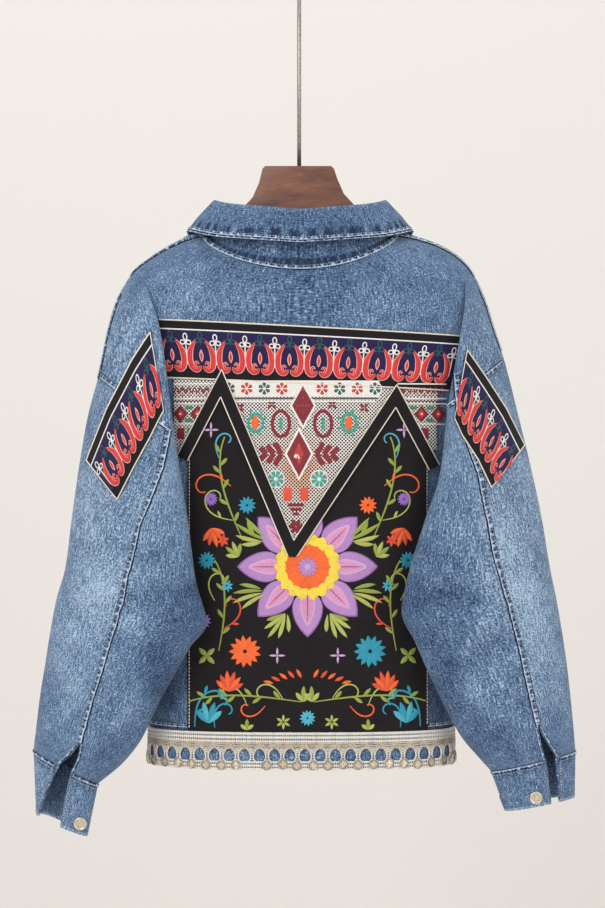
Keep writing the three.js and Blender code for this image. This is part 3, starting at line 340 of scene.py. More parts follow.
class Finish:
    def __init__(self, name, **constants):
        self.material = bpy.data.materials.new(name)
        self.material.use_nodes = True
        self.tree = self.material.node_tree
        self.surface = self.tree.nodes["Principled BSDF"]
        for socket, value in constants.items():
            self.surface.inputs[socket.replace("_", " ")].default_value = value

    def join(self, value, socket):
        if isinstance(value, Flow):
            self.tree.links.new(value.socket, socket)
        else:
            socket.default_value = value

    def add(self, kind, settings, inputs, output=0):
        node = self.tree.nodes.new(kind)
        for key, value in settings.items():
            setattr(node, key, value)
        for key, value in inputs.items():
            self.join(value, node.inputs[key])
        return Flow(self, node.outputs[output])

    def along_cloth(self, across=1.0, along=1.0):
        place = self.add("ShaderNodeUVMap", {"uv_map": "cut"}, {})
        return self.add("ShaderNodeVectorMath", {"operation": "MULTIPLY"}, {0: place, 1: (across, along, 1)})

    def in_space(self, scale=1.0):
        place = self.add("ShaderNodeTexCoord", {}, {}, "Object")
        return self.add("ShaderNodeVectorMath", {"operation": "MULTIPLY"}, {0: place, 1: (scale, scale, scale)})

    def noise(self, vector, scale=1.0, detail=2.0, roughness=0.5):
        inputs = {"Vector": vector, "Scale": scale, "Detail": detail, "Roughness": roughness}
        return self.add("ShaderNodeTexNoise", {}, inputs)

    def marked(self, name):
        return self.add("ShaderNodeAttribute", {"attribute_name": name}, {}, "Fac")

    def marked_colour(self, name):
        return self.add("ShaderNodeAttribute", {"attribute_name": name}, {}, "Color")

    def between(self, value, low, high, start=0.0, end=1.0):
        inputs = {"Value": value, "From Min": low, "From Max": high, "To Min": start, "To Max": end}
        return self.add("ShaderNodeMapRange", {"interpolation_type": "SMOOTHSTEP"}, inputs)

    def blend(self, share, a, b, way="MIX"):
        settings = {"data_type": "RGBA", "blend_type": way, "clamp_factor": True}
        return self.add("ShaderNodeMix", settings, {0: share, 6: a, 7: b}, 2)

    def bump(self, height, distance, strength=1.0):
        inputs = {"Height": height, "Distance": distance, "Strength": strength}
        self.join(self.add("ShaderNodeBump", {}, inputs), self.surface.inputs["Normal"])

    def colour(self, value):
        self.join(value, self.surface.inputs["Base Color"])

    def roughness(self, value):
        self.join(value, self.surface.inputs["Roughness"])


# %% [markdown]
# ### Denim
#
# The warp is dyed and the weft is white, so the cloth is a mixture of both. Uneven yarn gives the long
# light and dark slubs down the cloth, stone washing gives the cloudy mottle, and rubbing whitens
# ridges and elbows. Painted shade darkens the crease troughs, the folds and the places between
# parts. The weave itself is finer than a millimetre, so it only shows as a fine bump.

# %% Denim, seam welts and the sewing thread
def denim_finish(name, dark, middle, pale, roped=0.0):
    denim = Finish(name, Roughness=0.92, Sheen_Weight=0.12, Sheen_Roughness=0.5, Specular_IOR_Level=0.18)
    slub = denim.noise(denim.along_cloth(640, 80), 1, 3, 0.65)
    cross = denim.noise(denim.along_cloth(300, 700), 1, 2, 0.6)
    cloud = denim.noise(denim.in_space(38), 1, 4, 0.62)
    broad = denim.noise(denim.in_space(9), 1, 2, 0.5)
    grain = denim.noise(denim.along_cloth(560, 430), 1, 2, 0.7)
    yarn = (slub - 0.5) * 2.1 + (cross - 0.5) * 0.8 + (grain - 0.5) * 2.7
    wash = (cloud - 0.5) * 0.9 + (broad - 0.5) * 0.8
    # Paler on crease ridges where rubbing wears the blue, darker in crease troughs as painted shade; the fade mark adds
    # pale fades and painted shade.
    wear_and_shade = denim.marked("worn") * 0.03 + denim.marked("fade_and_shade")
    tone = yarn * 0.8 + wash * 0.6 + wear_and_shade + 0.5
    if roped:
        rope = denim.noise(denim.along_cloth(90, 170), 1, 2, 0.7)
        tone = tone + (rope - 0.5) * roped
    low = denim.blend(denim.between(tone, -0.1, 0.5), dark, middle)
    denim.colour(denim.blend(denim.between(tone, 0.45, 1.15), low, pale))
    weave = denim.noise(denim.along_cloth(1700, 1700), 1, 1, 0.5)
    denim.bump(weave * 0.4 + slub * 0.35 + grain * 0.3 + cloud * 0.9, 0.0011, 0.6)
    return denim.material


WASHED = (light(32, 45, 73), light(85, 112, 145), light(178, 203, 223))
denim = denim_finish("washed_denim", *WASHED)
welt_denim = denim_finish("denim_welt", light(24, 36, 62), light(88, 116, 150), light(198, 216, 230), roped=0.9)

thread = Finish("sewing_thread", Roughness=0.75, Sheen_Weight=0.1)
thread.colour(thread.blend(thread.noise(thread.in_space(700), 1, 2), light(176, 190, 206), light(220, 224, 224)))
thread.bump(thread.noise(thread.in_space(3000), 1, 1), 0.0004, 0.5)

# %% [markdown]
# ### Embroidery, ribbons and lace
#
# Satin stitch is many threads laid side by side, so it shines along them and shows fine grooves across
# the shape. Each stitched shape carries its own thread colour; the finish adds the grooves. Black
# cotton behind it is dull and a little dusty. Crochet cotton is matt with a loopy surface.

# %% Satin thread, black cotton, crochet cotton, net
satin = Finish("satin_thread", Roughness=0.42, Sheen_Weight=0.25, Sheen_Roughness=0.3, Specular_IOR_Level=0.5)
groove = satin.noise(satin.along_cloth(2600, 160), 1, 2, 0.7)
tuft = satin.noise(satin.along_cloth(1100, 1100), 1, 2, 0.6)
# Painted shade and sheen: the grooves between threads are painted darker and the thread tops paler than the thread
# colour.
shade = satin.between(groove, 0.3, 0.7, 0.62, 1.12)
satin.colour(satin.blend(1.0, satin.marked_colour("thread"),
        satin.blend(shade, (0.45, 0.45, 0.45, 1), (1.12, 1.1, 1.08, 1)), "MULTIPLY"))
satin.bump(groove * 0.9 + tuft * 0.3, 0.0009, 0.8)
satin.roughness(satin.between(tuft, 0.3, 0.7, 0.36, 0.6))

black_cotton = Finish("black_cotton", Roughness=0.9, Sheen_Weight=0.08, Specular_IOR_Level=0.15)
dust = black_cotton.noise(black_cotton.in_space(60), 1, 4, 0.6)
twill = black_cotton.noise(black_cotton.along_cloth(1400, 500), 1, 2, 0.5)
black_cotton.colour(black_cotton.blend(dust * 0.5 + twill * 0.5, light(16, 14, 16), light(42, 38, 41)))
black_cotton.bump(twill * 0.5 + dust, 0.0012, 0.5)

navy_cotton = Finish("navy_ground", Roughness=0.8, Sheen_Weight=0.1, Specular_IOR_Level=0.2)
rib = navy_cotton.noise(navy_cotton.along_cloth(1800, 500), 1, 2, 0.5)
navy_cotton.colour(navy_cotton.blend(rib, light(22, 18, 48), light(48, 38, 88)))
navy_cotton.bump(rib, 0.0006, 0.6)

def crochet_finish(name, pale, loop_gap_shade):
    crochet = Finish(name, Roughness=0.85, Sheen_Weight=0.15)
    loops = crochet.add("ShaderNodeTexVoronoi", {"feature": "F1"},
            {"Vector": crochet.along_cloth(900, 700), "Scale": 1.0})
    fluff = crochet.noise(crochet.in_space(1600), 1, 2)
    # Painted shade: pale at each loop's middle, darker in the gaps between loops.
    crochet.colour(crochet.blend(crochet.between(loops, 0.35, 0.95), pale, loop_gap_shade))
    crochet.bump(1 - loops + fluff * 0.3, 0.0007, 0.9)
    return crochet.material


white_crochet = crochet_finish("white_crochet", light(244, 241, 233), light(206, 200, 188))
beige_crochet = crochet_finish("beige_crochet", light(214, 203, 184), light(150, 140, 122))

net = Finish("white_net", Roughness=0.85)
mesh_cell = net.add("ShaderNodeTexVoronoi", {"feature": "F1", "distance": "EUCLIDEAN"},
                    {"Vector": net.along_cloth(370, 370), "Scale": 1.0, "Randomness": 0.0})
hole = net.between(mesh_cell, 0.34, 0.42)
blush = net.between(net.marked("blush"), 0, 1)
net_cord = net.blend(blush, light(240, 236, 228), light(238, 178, 140))
net.colour(net.blend(hole, light(34, 20, 22), net_cord))
net.bump(hole * 1.0 + net.noise(net.in_space(1500), 1, 2) * 0.3, 0.0009, 0.8)

# %% [markdown]
# ### Metal and wood
#
# The buttons and coins are a pale stamped metal, dulled by handling. The hanger is stained hardwood:
# long grain along its arms, darker pores, and a satin lacquer. Its rod is plain steel.

# %% Pale metal, steel, wood
def metal_finish(name, dark, pale, rough):
    metal = Finish(name, Metallic=1.0)
    wear = metal.noise(metal.in_space(420), 1, 3, 0.6)
    patch = metal.noise(metal.in_space(2200), 1, 2, 0.6)
    worn = metal.blend(metal.between(wear * 0.6 + patch * 0.4, 0.3, 0.7), dark, pale)
    metal.colour(metal.blend(metal.between(metal.marked("patina"), 0, 1), worn, light(92, 84, 70)))
    metal.roughness(metal.between(patch, 0.3, 0.7, rough - 0.08, rough + 0.14))
    metal.bump(wear, 0.0003, 0.4)
    return metal.material


coin_metal = metal_finish("pale_metal", light(196, 184, 158), light(242, 232, 212), 0.3)
rod_steel = metal_finish("hook_steel", light(128, 124, 114), light(190, 184, 172), 0.38)

wood = Finish("stained_wood", Coat_Weight=0.35, Coat_Roughness=0.28)
lengthwise = wood.add("ShaderNodeVectorMath", {"operation": "MULTIPLY"}, {0: wood.in_space(1), 1: (14, 60, 60)})
grain = wood.noise(lengthwise, 1, 5, 0.62)
pores = wood.noise(wood.add("ShaderNodeVectorMath", {"operation": "MULTIPLY"},
        {0: wood.in_space(1), 1: (120, 900, 900)}), 1, 3, 0.7)
tone = grain * 0.75 + pores * 0.25
stain = wood.blend(wood.between(tone, 0.3, 0.52), light(56, 28, 16), light(112, 66, 44))
wood.colour(wood.blend(wood.between(tone, 0.5, 0.72), stain, light(160, 100, 68)))
wood.roughness(wood.between(pores, 0.3, 0.7, 0.34, 0.55))
wood.bump(pores * 0.5 + grain * 0.5, 0.0004, 0.5)
print("finishes:", len(bpy.data.materials))

# %% [markdown]
# ## From the cutting table to the jacket
#
# A cut piece starts as a flat grid, the way cloth lies on the table. Every corner of the grid is then
# put in its place on the jacket by a rule, the piece gets its thickness, and its own length and width
# are kept as its cloth coordinates. Fades and painted shade are marked on it: soft pale ovals where
# the wash or the wear took the blue away, and darker ones that are painted shade between parts and
# in the folds.

# %% Fades and painted shade: place, turn, length, width, strength (over zero is a paler fade, under zero is painted shade)
FADES_AND_SHADE = np.array([
    (-172, -705, 60, 80, 42, 0.26), (-212, -650, 70, 90, 40, 0.14), (-252, -760, 78, 80, 30, 0.1),
    (-205, -412, 55, 50, 22, 0.16), (-216, -360, 52, 46, 13, 0.2), (-158, -700, 40, 50, 20, 0.14),
    (210, -695, -60, 84, 44, 0.26), (236, -640, -70, 90, 40, 0.12), (262, -760, -78, 80, 30, 0.1),
    (212, -402, -55, 50, 22, 0.16), (222, -356, -52, 46, 13, 0.2), (156, -700, -40, 50, 20, 0.14),
    (-175, -545, 70, 70, 18, -0.1), (205, -540, -70, 70, 18, -0.1), (-158, -480, 70, 50, 14, -0.14),
    (178, -476, -70, 50, 14, -0.14), (-215, -385, 55, 90, 40, -0.14), (225, -380, -55, 90, 40, -0.14), (0, -350, 0,
            170, 50, -0.08), (-150, -800, 90, 60, 22, -0.24), (158, -800, 90, 60, 22, -0.24),
    (-225, -600, 78, 170, 55, 0.17), (240, -600, -78, 170, 55, 0.17), (0, -330, 0, 120, 26, -0.12),
    (-110, -700, 90, 70, 90, -0.3), (110, -700, 90, 70, 90, -0.3), (-200, -860, 60, 40, 26, -0.16), (205, -850,
            -60, 40, 26, -0.16),
    (-264, -860, 80, 40, 16, -0.08), (280, -850, -80, 40, 16, -0.06), (-200, -520, 70, 60, 14, 0.08),
], float)


def fade_and_shade_at(x, z):
    total = np.zeros(np.broadcast(x, z).shape)
    for cx, cz, turn, long, wide, strength in FADES_AND_SHADE:
        turn = math.radians(turn)
        along = (x - cx) * math.cos(turn) + (z - cz) * math.sin(turn)
        across = (z - cz) * math.cos(turn) - (x - cx) * math.sin(turn)
        total += strength * np.exp(-((along / long) ** 2) - (across / wide) ** 2)
    return total


# %% Helpers at the cutting table
def choose(*objects):
    bpy.ops.object.select_all(action="DESELECT")
    for item in objects:
        item.select_set(True)
    bpy.context.view_layer.objects.active = objects[0]


def settle(piece):
    """Origin at zero, unturned and unscaled, as the frame wants it."""
    choose(piece)
    bpy.ops.object.transform_apply(location=True, rotation=True, scale=True)
    return piece


def mark(mesh, name, values):
    layer = mesh.attributes.get(name) or mesh.attributes.new(name, "FLOAT", "POINT")
    layer.data.foreach_set("value", np.asarray(values, np.float32))


def cloth_uv(mesh, across, along):
    layer = mesh.uv_layers.active or mesh.uv_layers.new(name="cut")
    layer.name = "cut"
    corners = np.empty(len(mesh.loops), np.int32)
    mesh.loops.foreach_get("vertex_index", corners)
    layer.data.foreach_set("uv", np.stack([across[corners], along[corners]], -1).astype(np.float32).ravel())


def face_values(mesh, name, size):
    values = np.empty(len(mesh.polygons) * size, np.float32)
    mesh.polygons.foreach_get(name, values)
    return values.reshape(-1, size)


def thicken(piece, thickness, side=-1):
    choose(piece)
    wall = piece.modifiers.new("wall", "SOLIDIFY")
    wall.thickness, wall.offset = thickness * MM, side
    bpy.ops.object.modifier_apply(modifier="wall")
    return piece


def cut_cloth(name, columns, rows, place, flat, thickness, outward, finish, shade=None):
    """place(across, down) takes shares of the cut piece and gives places in millimetres."""
    bpy.ops.object.select_all(action="DESELECT")
    bpy.ops.mesh.primitive_grid_add(x_subdivisions=columns, y_subdivisions=rows, size=1)
    piece = bpy.context.object
    piece.name = piece.data.name = name
    mesh = piece.data
    corners = np.empty(len(mesh.vertices) * 3, np.float32)
    mesh.vertices.foreach_get("co", corners)
    corners = corners.reshape(-1, 3) + 0.5
    across, down = corners[:, 0].astype(float), 1 - corners[:, 1].astype(float)
    places = place(across, down)
    mesh.vertices.foreach_set("co", (places * MM).astype(np.float32).ravel())
    # This mark holds the pale fades, the painted shade from the table, and any painted shade given by shade.
    mark(mesh, "fade_and_shade", fade_and_shade_at(places[:, 0], places[:, 2]) + (shade(across, down) if shade else 0))
    # This mark is the crease height: paler ridges as wear, darker troughs as painted shade.
    mark(mesh, "worn", crease_height(places[:, 0], places[:, 2], np.where(outward(places) < 0, -1, 1)))
    cloth_uv(mesh, across * flat[0] * MM, down * flat[1] * MM)
    mesh.update()
    centres, normals, areas = (face_values(mesh, *what) for what in (("center", 3), ("normal", 3), ("area", 1)))
    if (normals[:, 1] * areas[:, 0] * outward(centres / MM)).sum() < 0:
        mesh.flip_normals()
    thicken(piece, thickness)
    bpy.ops.object.shade_smooth()
    mesh.materials.clear()
    mesh.materials.append(finish)
    return piece


def joined(pieces, name):
    choose(*pieces)
    if len(pieces) > 1:
        bpy.ops.object.join()
    pieces[0].name = pieces[0].data.name = name
    return settle(pieces[0])


def cloth_area(piece):
    return float(face_values(piece.data, "area", 1).sum()) / 2


def finished(piece, nodes=()):
    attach(piece, "root")
    if nodes:
        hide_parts(*nodes)
    return piece


def declare_sheet(piece, flat):
    """States the flat cut in millimetres; its area is what the cloth measures."""
    area = cloth_area(piece)
    print(f"{piece.name}: flat {flat[0]} x {flat[1]} mm, cloth {area * 1e6:.0f} square mm, "
          f"{100 * area / (flat[0] * flat[1] * 1e-6):.0f} percent")


def pucker_shading(start, end, depth, seed):
    """Painted shade of a puckered seam: dark and pale streaks across it, darker on the whole, strongest between two
    shares of the way down.
    """
    def shade(across, down):
        within = np.clip((down - start) / 0.14 + 1, 0, 1) * np.clip((end - down) / 0.08 + 1, 0, 1)
        wave = np.sin(across * 190 + 2.4 * np.sin(across * seed)) + 0.7 * np.sin(across * 317 + 3 * np.sin(across * 19))
        return within * (depth * wave - depth * 0.9)
    return shade


behind = lambda places: np.full(len(places), -1.0)
before = lambda places: np.full(len(places), 1.0)
around = lambda places: np.where(places[:, 1] < 0, -1.0, 1.0)

# %% [markdown]
# ## Back and fronts
#
# The back hangs from the shoulder seams, with an oval cut for the neck. Its columns start at the
# neckline and end at the hem, so the neck's edge is clean. The dropped shoulder caps are cut in one
# with it on the real jacket; here each cap is a second grid that follows the top of the sleeve down to
# the armhole seam, joined to the back.

# %% The neckline and where each column of the body starts
NECK = {"half_width": 106, "back": 46, "front": 60, "corner": 2.2}


def in_neck(x, y):
    depth = np.where(y < 0, NECK["back"], NECK["front"])
    return np.abs(x / NECK["half_width"]) ** NECK["corner"] + np.abs(y / depth) ** NECK["corner"] < 1


def column_tops(angles):
    levels = np.linspace(BODY[0, 0], -460, 340)
    places = body_place(angles[:, None], levels[None, :])
    outside = ~in_neck(places[..., 0], places[..., 1])
    return levels[np.argmax(outside, axis=1)]


def side_angle(z):
    back = body_at(z)[2]
    corner = body_at(z)[4]
    return np.arcsin(np.clip(-SHOULDER_SEAM_Y / back, 0, 1) ** (corner / 2))


def body_panel(name, from_share, to_share, facing, columns, rows):
    """A panel of the body between two shares of the way round it, from one side seam to the other."""
    table_shares = np.linspace(from_share, to_share, 161)

    def angle_at(share, z):
        edge = side_angle(z)
        if facing < 0:
            return mix(np.pi + edge, 2 * np.pi - edge, share)
        return mix(np.pi + edge, -edge, share)
    tops = column_tops(angle_at(table_shares, np.full(table_shares.shape, -330.0)))
    if facing < 0:
        tops = np.where(np.abs(table_shares - 0.5) > 0.49, BODY[0, 0], tops)

    def place(across, down):
        share = mix(from_share, to_share, across)
        top = np.interp(share, table_shares, tops)
        z = mix(top, HEM_SEAM, down**1.08)
        return body_place(angle_at(share, z), z)
    width = 470 * abs(to_share - from_share)
    return cut_cloth(name, columns, rows, place, (width, 560), 1.6, behind if facing < 0 else before, denim)


def sleeve_grid(name, hand, angle_from, angle_to, start, columns, rows, flat, facing, end=LAST):
    """Part of a sleeve between two lines down it; start is the station of its top edge or a rule for it."""
    def place_at(share, station):
        angle = mix(angle_from(station), angle_to(station), share)
        rows_here = sleeve_row(hand, station)
        return section_place(rows_here, angle)
    shares = np.linspace(0, 1, 161)
    crossing = armhole_station(hand, place_at, shares)

    def place(across, down):
        meets = np.interp(across, shares, crossing)
        if start == "armhole":
            station = mix(meets, end, down)
        elif start == "cap":
            station = mix(np.zeros_like(meets), meets, down)
        else:
            station = mix(start, end, down)
        return place_at(across, station)
    return cut_cloth(name, columns, rows, place, flat, 1.6, facing, denim)


def shoulder_edge(hand):
    stations = np.linspace(0, 8, 33)
    angles = shoulder_angle(hand, stations)
    return lambda station: np.interp(station, stations, angles)


# %% Cut the back and the fronts
pieces = {}
caps_back, caps_front = [], {}
for hand in SLEEVES:
    edge = shoulder_edge(hand)
    caps_back.append(sleeve_grid(f"cap_back_{hand}", hand, edge, lambda s: 0 * s + 1.25 * np.pi, "cap", 44, 30,
            (90, 150), behind))
    caps_front[hand] = sleeve_grid(f"cap_front_{hand}", hand, lambda s: 0 * s - 0.75 * np.pi, edge, "cap", 40, 30,
            (110, 130), before)
back_panel = body_panel("back_cloth", 0, 1, -1, 120, 150)
pieces["back"] = joined([back_panel, *caps_back], "denim_back")
for hand, shares in {"left": (0, 0.4995), "right": (0.5005, 1)}.items():
    front = body_panel(f"front_cloth_{hand}", *shares, 1, 50, 110)
    pieces[f"front_{hand}"] = joined([front, caps_front[hand]], f"denim_front_{hand}")
for node, piece in pieces.items():
    finished(piece, [node])
declare_sheet(pieces["back"], (470, 640))
for hand in SLEEVES:
    declare_sheet(pieces[f"front_{hand}"], (290, 620))

# %% [markdown]
# ## Sleeves, cuffs and waistband
#
# Each sleeve is cut in two. The upper sleeve goes round the outside from the back seam to the fold and
# behind it; the under sleeve is the strip between the back seam and the fold. The back seam is left
# open above the cuff, which makes the slit. Cuffs and waistband are doubled cloth, so they are thicker.

# %% Cut the sleeves
LITTLE_GAP = 0.006
for hand in SLEEVES:
    upper = sleeve_grid(
        f"sleeve_{hand}", hand,
        lambda s, h=hand: seam_angle(h, s, 0) - LITTLE_GAP, lambda s: 0 * s - np.pi,
        "armhole", 84, 120, (330, 480), before)
    under = sleeve_grid(
        f"under_{hand}", hand,
        lambda s, h=hand: seam_angle(h, s, 1) + LITTLE_GAP, lambda s: 0 * s + np.pi,
        UNDER_STARTS[hand] + 0.05, 40, 110, (110, 420), behind)
    pieces[f"sleeve_upper_{hand}"], pieces[f"sleeve_under_{hand}"] = upper, under
    for part, piece in (("upper", upper), ("under", under)):
        settle(piece)
        finished(piece, [f"sleeve_{part}_{hand}"])
    declare_sheet(upper, (420, 520))
    declare_sheet(under, (170, 480))


def cuff_cloth(hand):
    above = SLEEVES[hand][-1].copy()
    edge = CUFF_EDGE[hand]
    gap_above, gap_below = CUFF_GAP[hand]
    turn = lambda share: np.arccos(1 - 2 * share)

    def place(across, down):
        row = [mix(a, b, down) for a, b in zip(above[:8], edge[:8])]
        start = turn(mix(gap_above[1], gap_below[1], down))
        end = turn(mix(gap_above[0], gap_below[0], down)) + 2 * np.pi
        angle = mix(start, end, across)
        wave = 1.1 * np.sin(across * 31 + 1.7 * down) * (1 - 0.5 * down)
        return section_place(row, angle, 0.3 * wave)
    # Painted shade of puckers below its upper seam, and a paler worn lower edge.
    return cut_cloth(f"cuff_cloth_{hand}", 150, 24, place, (240, 72), 2.6, before, denim,
                     lambda across, down: pucker_shading(0.0, 0.14, 0.14, 31)(across,
                             down) + 0.4 * np.clip(down * 12 - 11, 0, 1))


for hand in SLEEVES:
    piece = settle(cuff_cloth(hand))
    pieces[f"cuff_{hand}"] = finished(piece, [f"cuff_{hand}"])
    declare_sheet(piece, (240, 72))


def waistband_place(across, down):
    angle = mix(0.5 * np.pi + 0.002, 2.5 * np.pi - 0.002, across)
    z = mix(HEM_SEAM - 0.4, HEM, down)
    places = body_place(angle, z)
    return places


band = cut_cloth("waistband_cloth", 240, 12, waistband_place, (880, 40), 2.4, around, denim)
pieces["waistband"] = finished(settle(band), ["waistband"])
declare_sheet(band, (880, 42))

# %% [markdown]
# ## Collar and front strip
#
# The stand is sewn inside the neckline and leans in a little; the fall turns over its upper edge and
# hangs outside it, down to the shoulders. On the real jacket both are doubled denim that rolls softly
# at the fold, so the fall's section is a smooth curve through five places. It ends at the front in two
# points.

# %% The collar, by its way round the neck: way, fold height, lean, drop, flare
COLLAR = np.array([
    (0, -273, 6, 37, 15), (0.25, -266, 9, 37, 20), (0.5, -259, 11, 34, 31), (0.75, -312, 7, 52, 24), (1, -380, 4,
            66, 18),
], float)


def neck_place(angle, shrink):
    depth = np.where(np.sin(angle) < 0, NECK["back"], NECK["front"])
    x = (NECK["half_width"] - shrink) * signed_power(np.cos(angle), 2 / NECK["corner"])
    y = (depth - shrink) * signed_power(np.sin(angle), 2 / NECK["corner"])
    return x, y


def body_height(x, y):
    """The height at which the body's surface passes a place seen from above."""
    high, low = np.full(x.shape, BODY[0, 0]), np.full(x.shape, float(HEM))
    for _ in range(22):
        z = (high + low) / 2
        left, right, back, front, corner = body_at(z)
        depth = np.where(y < 0, back, front)
        beyond = np.abs((x - (left + right) / 2) / ((right - left) / 2)) ** corner + np.abs(y / depth) ** corner > 1
        high, low = np.where(beyond, z, high), np.where(beyond, low, z)
    return (high + low) / 2


def collar_row(turn):
    return [fair_curve(COLLAR[:, 0], COLLAR[:, column], np.abs(turn) / np.pi) for column in range(1, 5)]


def collar_turn(across):
    return mix(-np.pi + 0.05, np.pi - 0.05, across)


def stand_place(across, down):
    turn = collar_turn(across)
    fold, lean, drop, flare = collar_row(turn)
    angle = turn - np.pi / 2
    base_x, base_y = neck_place(angle, 0)
    base = body_height(base_x, base_y) - 7
    inward = mix(lean, 0.4, down)
    x, y = neck_place(angle, inward)
    return np.stack([x, y, mix(fold - 2, base, down)], -1)


def fall_place(across, down):
    turn = collar_turn(across)
    fold, lean, drop, flare = collar_row(turn)
    angle = turn - np.pi / 2
    stops = np.array([0, 0.05, 0.16, 0.55, 1.0])
    out_stops = [np.full(turn.shape, -2.0), np.full(turn.shape, 0.5), np.full(turn.shape, 4.2),
            mix(4, flare, 0.56), flare]
    down_stops = [np.full(turn.shape, -0.2), np.full(turn.shape, -1.6), np.full(turn.shape, 2.0),
            mix(1.5, drop, 0.5), drop]
    i = np.clip(np.searchsorted(stops, down, side="right") - 1, 0, 3)
    part = (down - stops[i]) / (stops[i + 1] - stops[i])
    picked = np.arange(len(turn))
    out = mix(np.array(out_stops)[i, picked], np.array(out_stops)[i + 1, picked], part)
    low = mix(np.array(down_stops)[i, picked], np.array(down_stops)[i + 1, picked], part)
    ripple = 0.7 * np.sin(across * 210 + 2 * np.sin(across * 37)) * np.exp(-(((down - 0.86) / 0.09) ** 2))
    x, y = neck_place(angle, lean - out - ripple - 1.0)
    rest = np.where(low > 2, body_height(x, y) + 4.5, HEM)
    return np.stack([x, y, np.maximum(fold - low, rest)], -1)


stand = cut_cloth("collar_stand_cloth", 200, 12, stand_place, (500, 45), 2.0, around, denim)
# The fall's shade: painted shade of puckers near its topstitch row, a little darker overall, and paler towards the fold
# at its top.
fall = cut_cloth("collar_fall_cloth", 420, 32, fall_place, (520, 62), 2.0, around, denim,
                 lambda across, down: pucker_shading(0.74, 0.93, 0.26, 37)(across,
                         down) - 0.1 + 0.2 * np.clip(1 - down * 5, 0, 1))
pieces["collar_stand"] = finished(settle(stand), ["collar_stand"])
pieces["collar_fall"] = finished(settle(fall), ["collar_fall"])
declare_sheet(stand, (520, 60))
declare_sheet(fall, (560, 75))


def foot_place(across, down):
    """The stand's foot, which shows below the fall and ends at the neck seam."""
    angle = np.pi * mix(1.03, 1.97, across)
    x, y = neck_place(angle, mix(1.0, -4.2, down))
    return np.stack([x, y - 0.5, body_height(x, y) + 0.6], -1)


# Painted shade under the fall's edge: the foot is darker overall, with dark and pale pucker streaks.
foot = cut_cloth("collar_foot", 360, 8, foot_place, (330, 18), 0.8, behind, denim,
                 lambda across, down: pucker_shading(0.1, 1.0, 0.2, 23)(across, down) - 0.14)
pieces["collar_foot"] = finished(settle(foot))


def placket_place(across, down):
    x = mix(-19.0, 19.0, across)
    z = mix(-424.0, -846.5, down)
    return on_front(x, z, 1.2 + 1.4)


placket = cut_cloth("front_strip", 16, 110, placket_place, (38, 423), 1.5, before, denim)
pieces["front_placket"] = finished(settle(placket), ["front_placket"])
declare_sheet(placket, (40, 430))

# %% [markdown]
# ## The trims' cloth
#
# The trims are sewn on top of the finished back: a woven band with its two patches on the sleeves, a
# lattice ribbon, a black panel, and a black zigzag strip that frames a net V. They are drawn on a
# chart whose squares are 1.1 mm, the size of one pixel of the photo at the jacket's back, with columns
# counted from the left and rows from the top. The outlines were read one by one, and the helper
# turns a square into a place on the jacket.

# %% The chart, and the trims' outlines on it
SQUARE = 1.1


def from_chart(column, row):
    return (np.asarray(column, float) - 300) * SQUARE, -(np.asarray(row, float) + 40) * SQUARE


BAND_LINES = {
    "back": (np.array([(-156, -394), (178, -412)], float), np.array([(-147, -460), (164, -474)], float)),
    "left": (np.array([(-163, -408), (-184, -439), (-213, -493), (-237, -551)], float),
             np.array([(-148, -497), (-162, -526), (-181, -560), (-199, -594)], float)),
    "right": (np.array([(182, -428), (204, -458), (228, -493), (250, -534)], float),
              np.array([(168, -505), (176, -524), (193, -550), (208, -581)], float)),
}
ZIGZAG = np.array([(-128, -548), (-86, -466), (-8, -651), (105, -480), (146, -558)], float)
ZIGZAG_WIDTH = 13.5
PANEL_SIDES, PANEL_LOW, LATTICE_LOW = (-123, 140), -846.5, -539


def along_line(line, share):
    steps = np.hypot(*np.diff(line, axis=0).T)
    lengths = np.concatenate([[0], np.cumsum(steps)]) / steps.sum()
    return np.interp(share, lengths, line[:, 0]), np.interp(share, lengths, line[:, 1])


def on_band(which, share, depth):
    """A place on a band: share along it and depth from its upper edge (0) to its lower edge (1)."""
    upper, lower = BAND_LINES[which]
    x0, z0 = along_line(upper, share)
    x1, z1 = along_line(lower, share)
    return mix(x0, x1, depth), mix(z0, z1, depth)


def place_on(which):
    return on_back if which == "back" else on_sleeve[which]


def zigzag_z(x):
    return np.interp(x, ZIGZAG[:, 0], ZIGZAG[:, 1])


def band_low_z(x):
    lower = BAND_LINES["back"][1]
    return lower[0, 1] + (x - lower[0, 0]) * (lower[1, 1] - lower[0, 1]) / (lower[1, 0] - lower[0, 0])


def trim_cloth(name, columns, rows, outline, put, lift, thickness, flat, finish):
    def place(across, down):
        x, z = outline(across, down)
        return put(x, z, lift)
    return settle(cut_cloth(name, columns, rows, place, flat, thickness, behind, finish))


# %% The bands: black cloth under a navy field
BAND_SIZES = {"back": (334, 64, 160), "left": (140, 80, 70), "right": (128, 80, 64)}
BASE_LIFT, FIELD_LIFT = 1.7, 2.0
for which, (width, depth, columns) in BAND_SIZES.items():
    base = trim_cloth(f"band_{which}_cloth", columns, 28, lambda a, d, w=which: on_band(w, a, d),
                      place_on(which), BASE_LIFT, 0.8, (width, depth), black_cotton.material)
    field = trim_cloth(f"band_{which}_field", columns, 20, lambda a, d, w=which: on_band(w, a, mix(0.165, 0.835, d)),
                       place_on(which), FIELD_LIFT, 0.5, (width, depth * 0.67), navy_cotton.material)
    node = "band_back" if which == "back" else f"band_sleeve_{which}"
    pieces[node] = finished(base, [node])
    pieces[f"field_{which}"] = finished(field)

# %% The lattice ribbon with its net V, the black panel, and the zigzag strip
LATTICE_SIDES = (-139, 151)


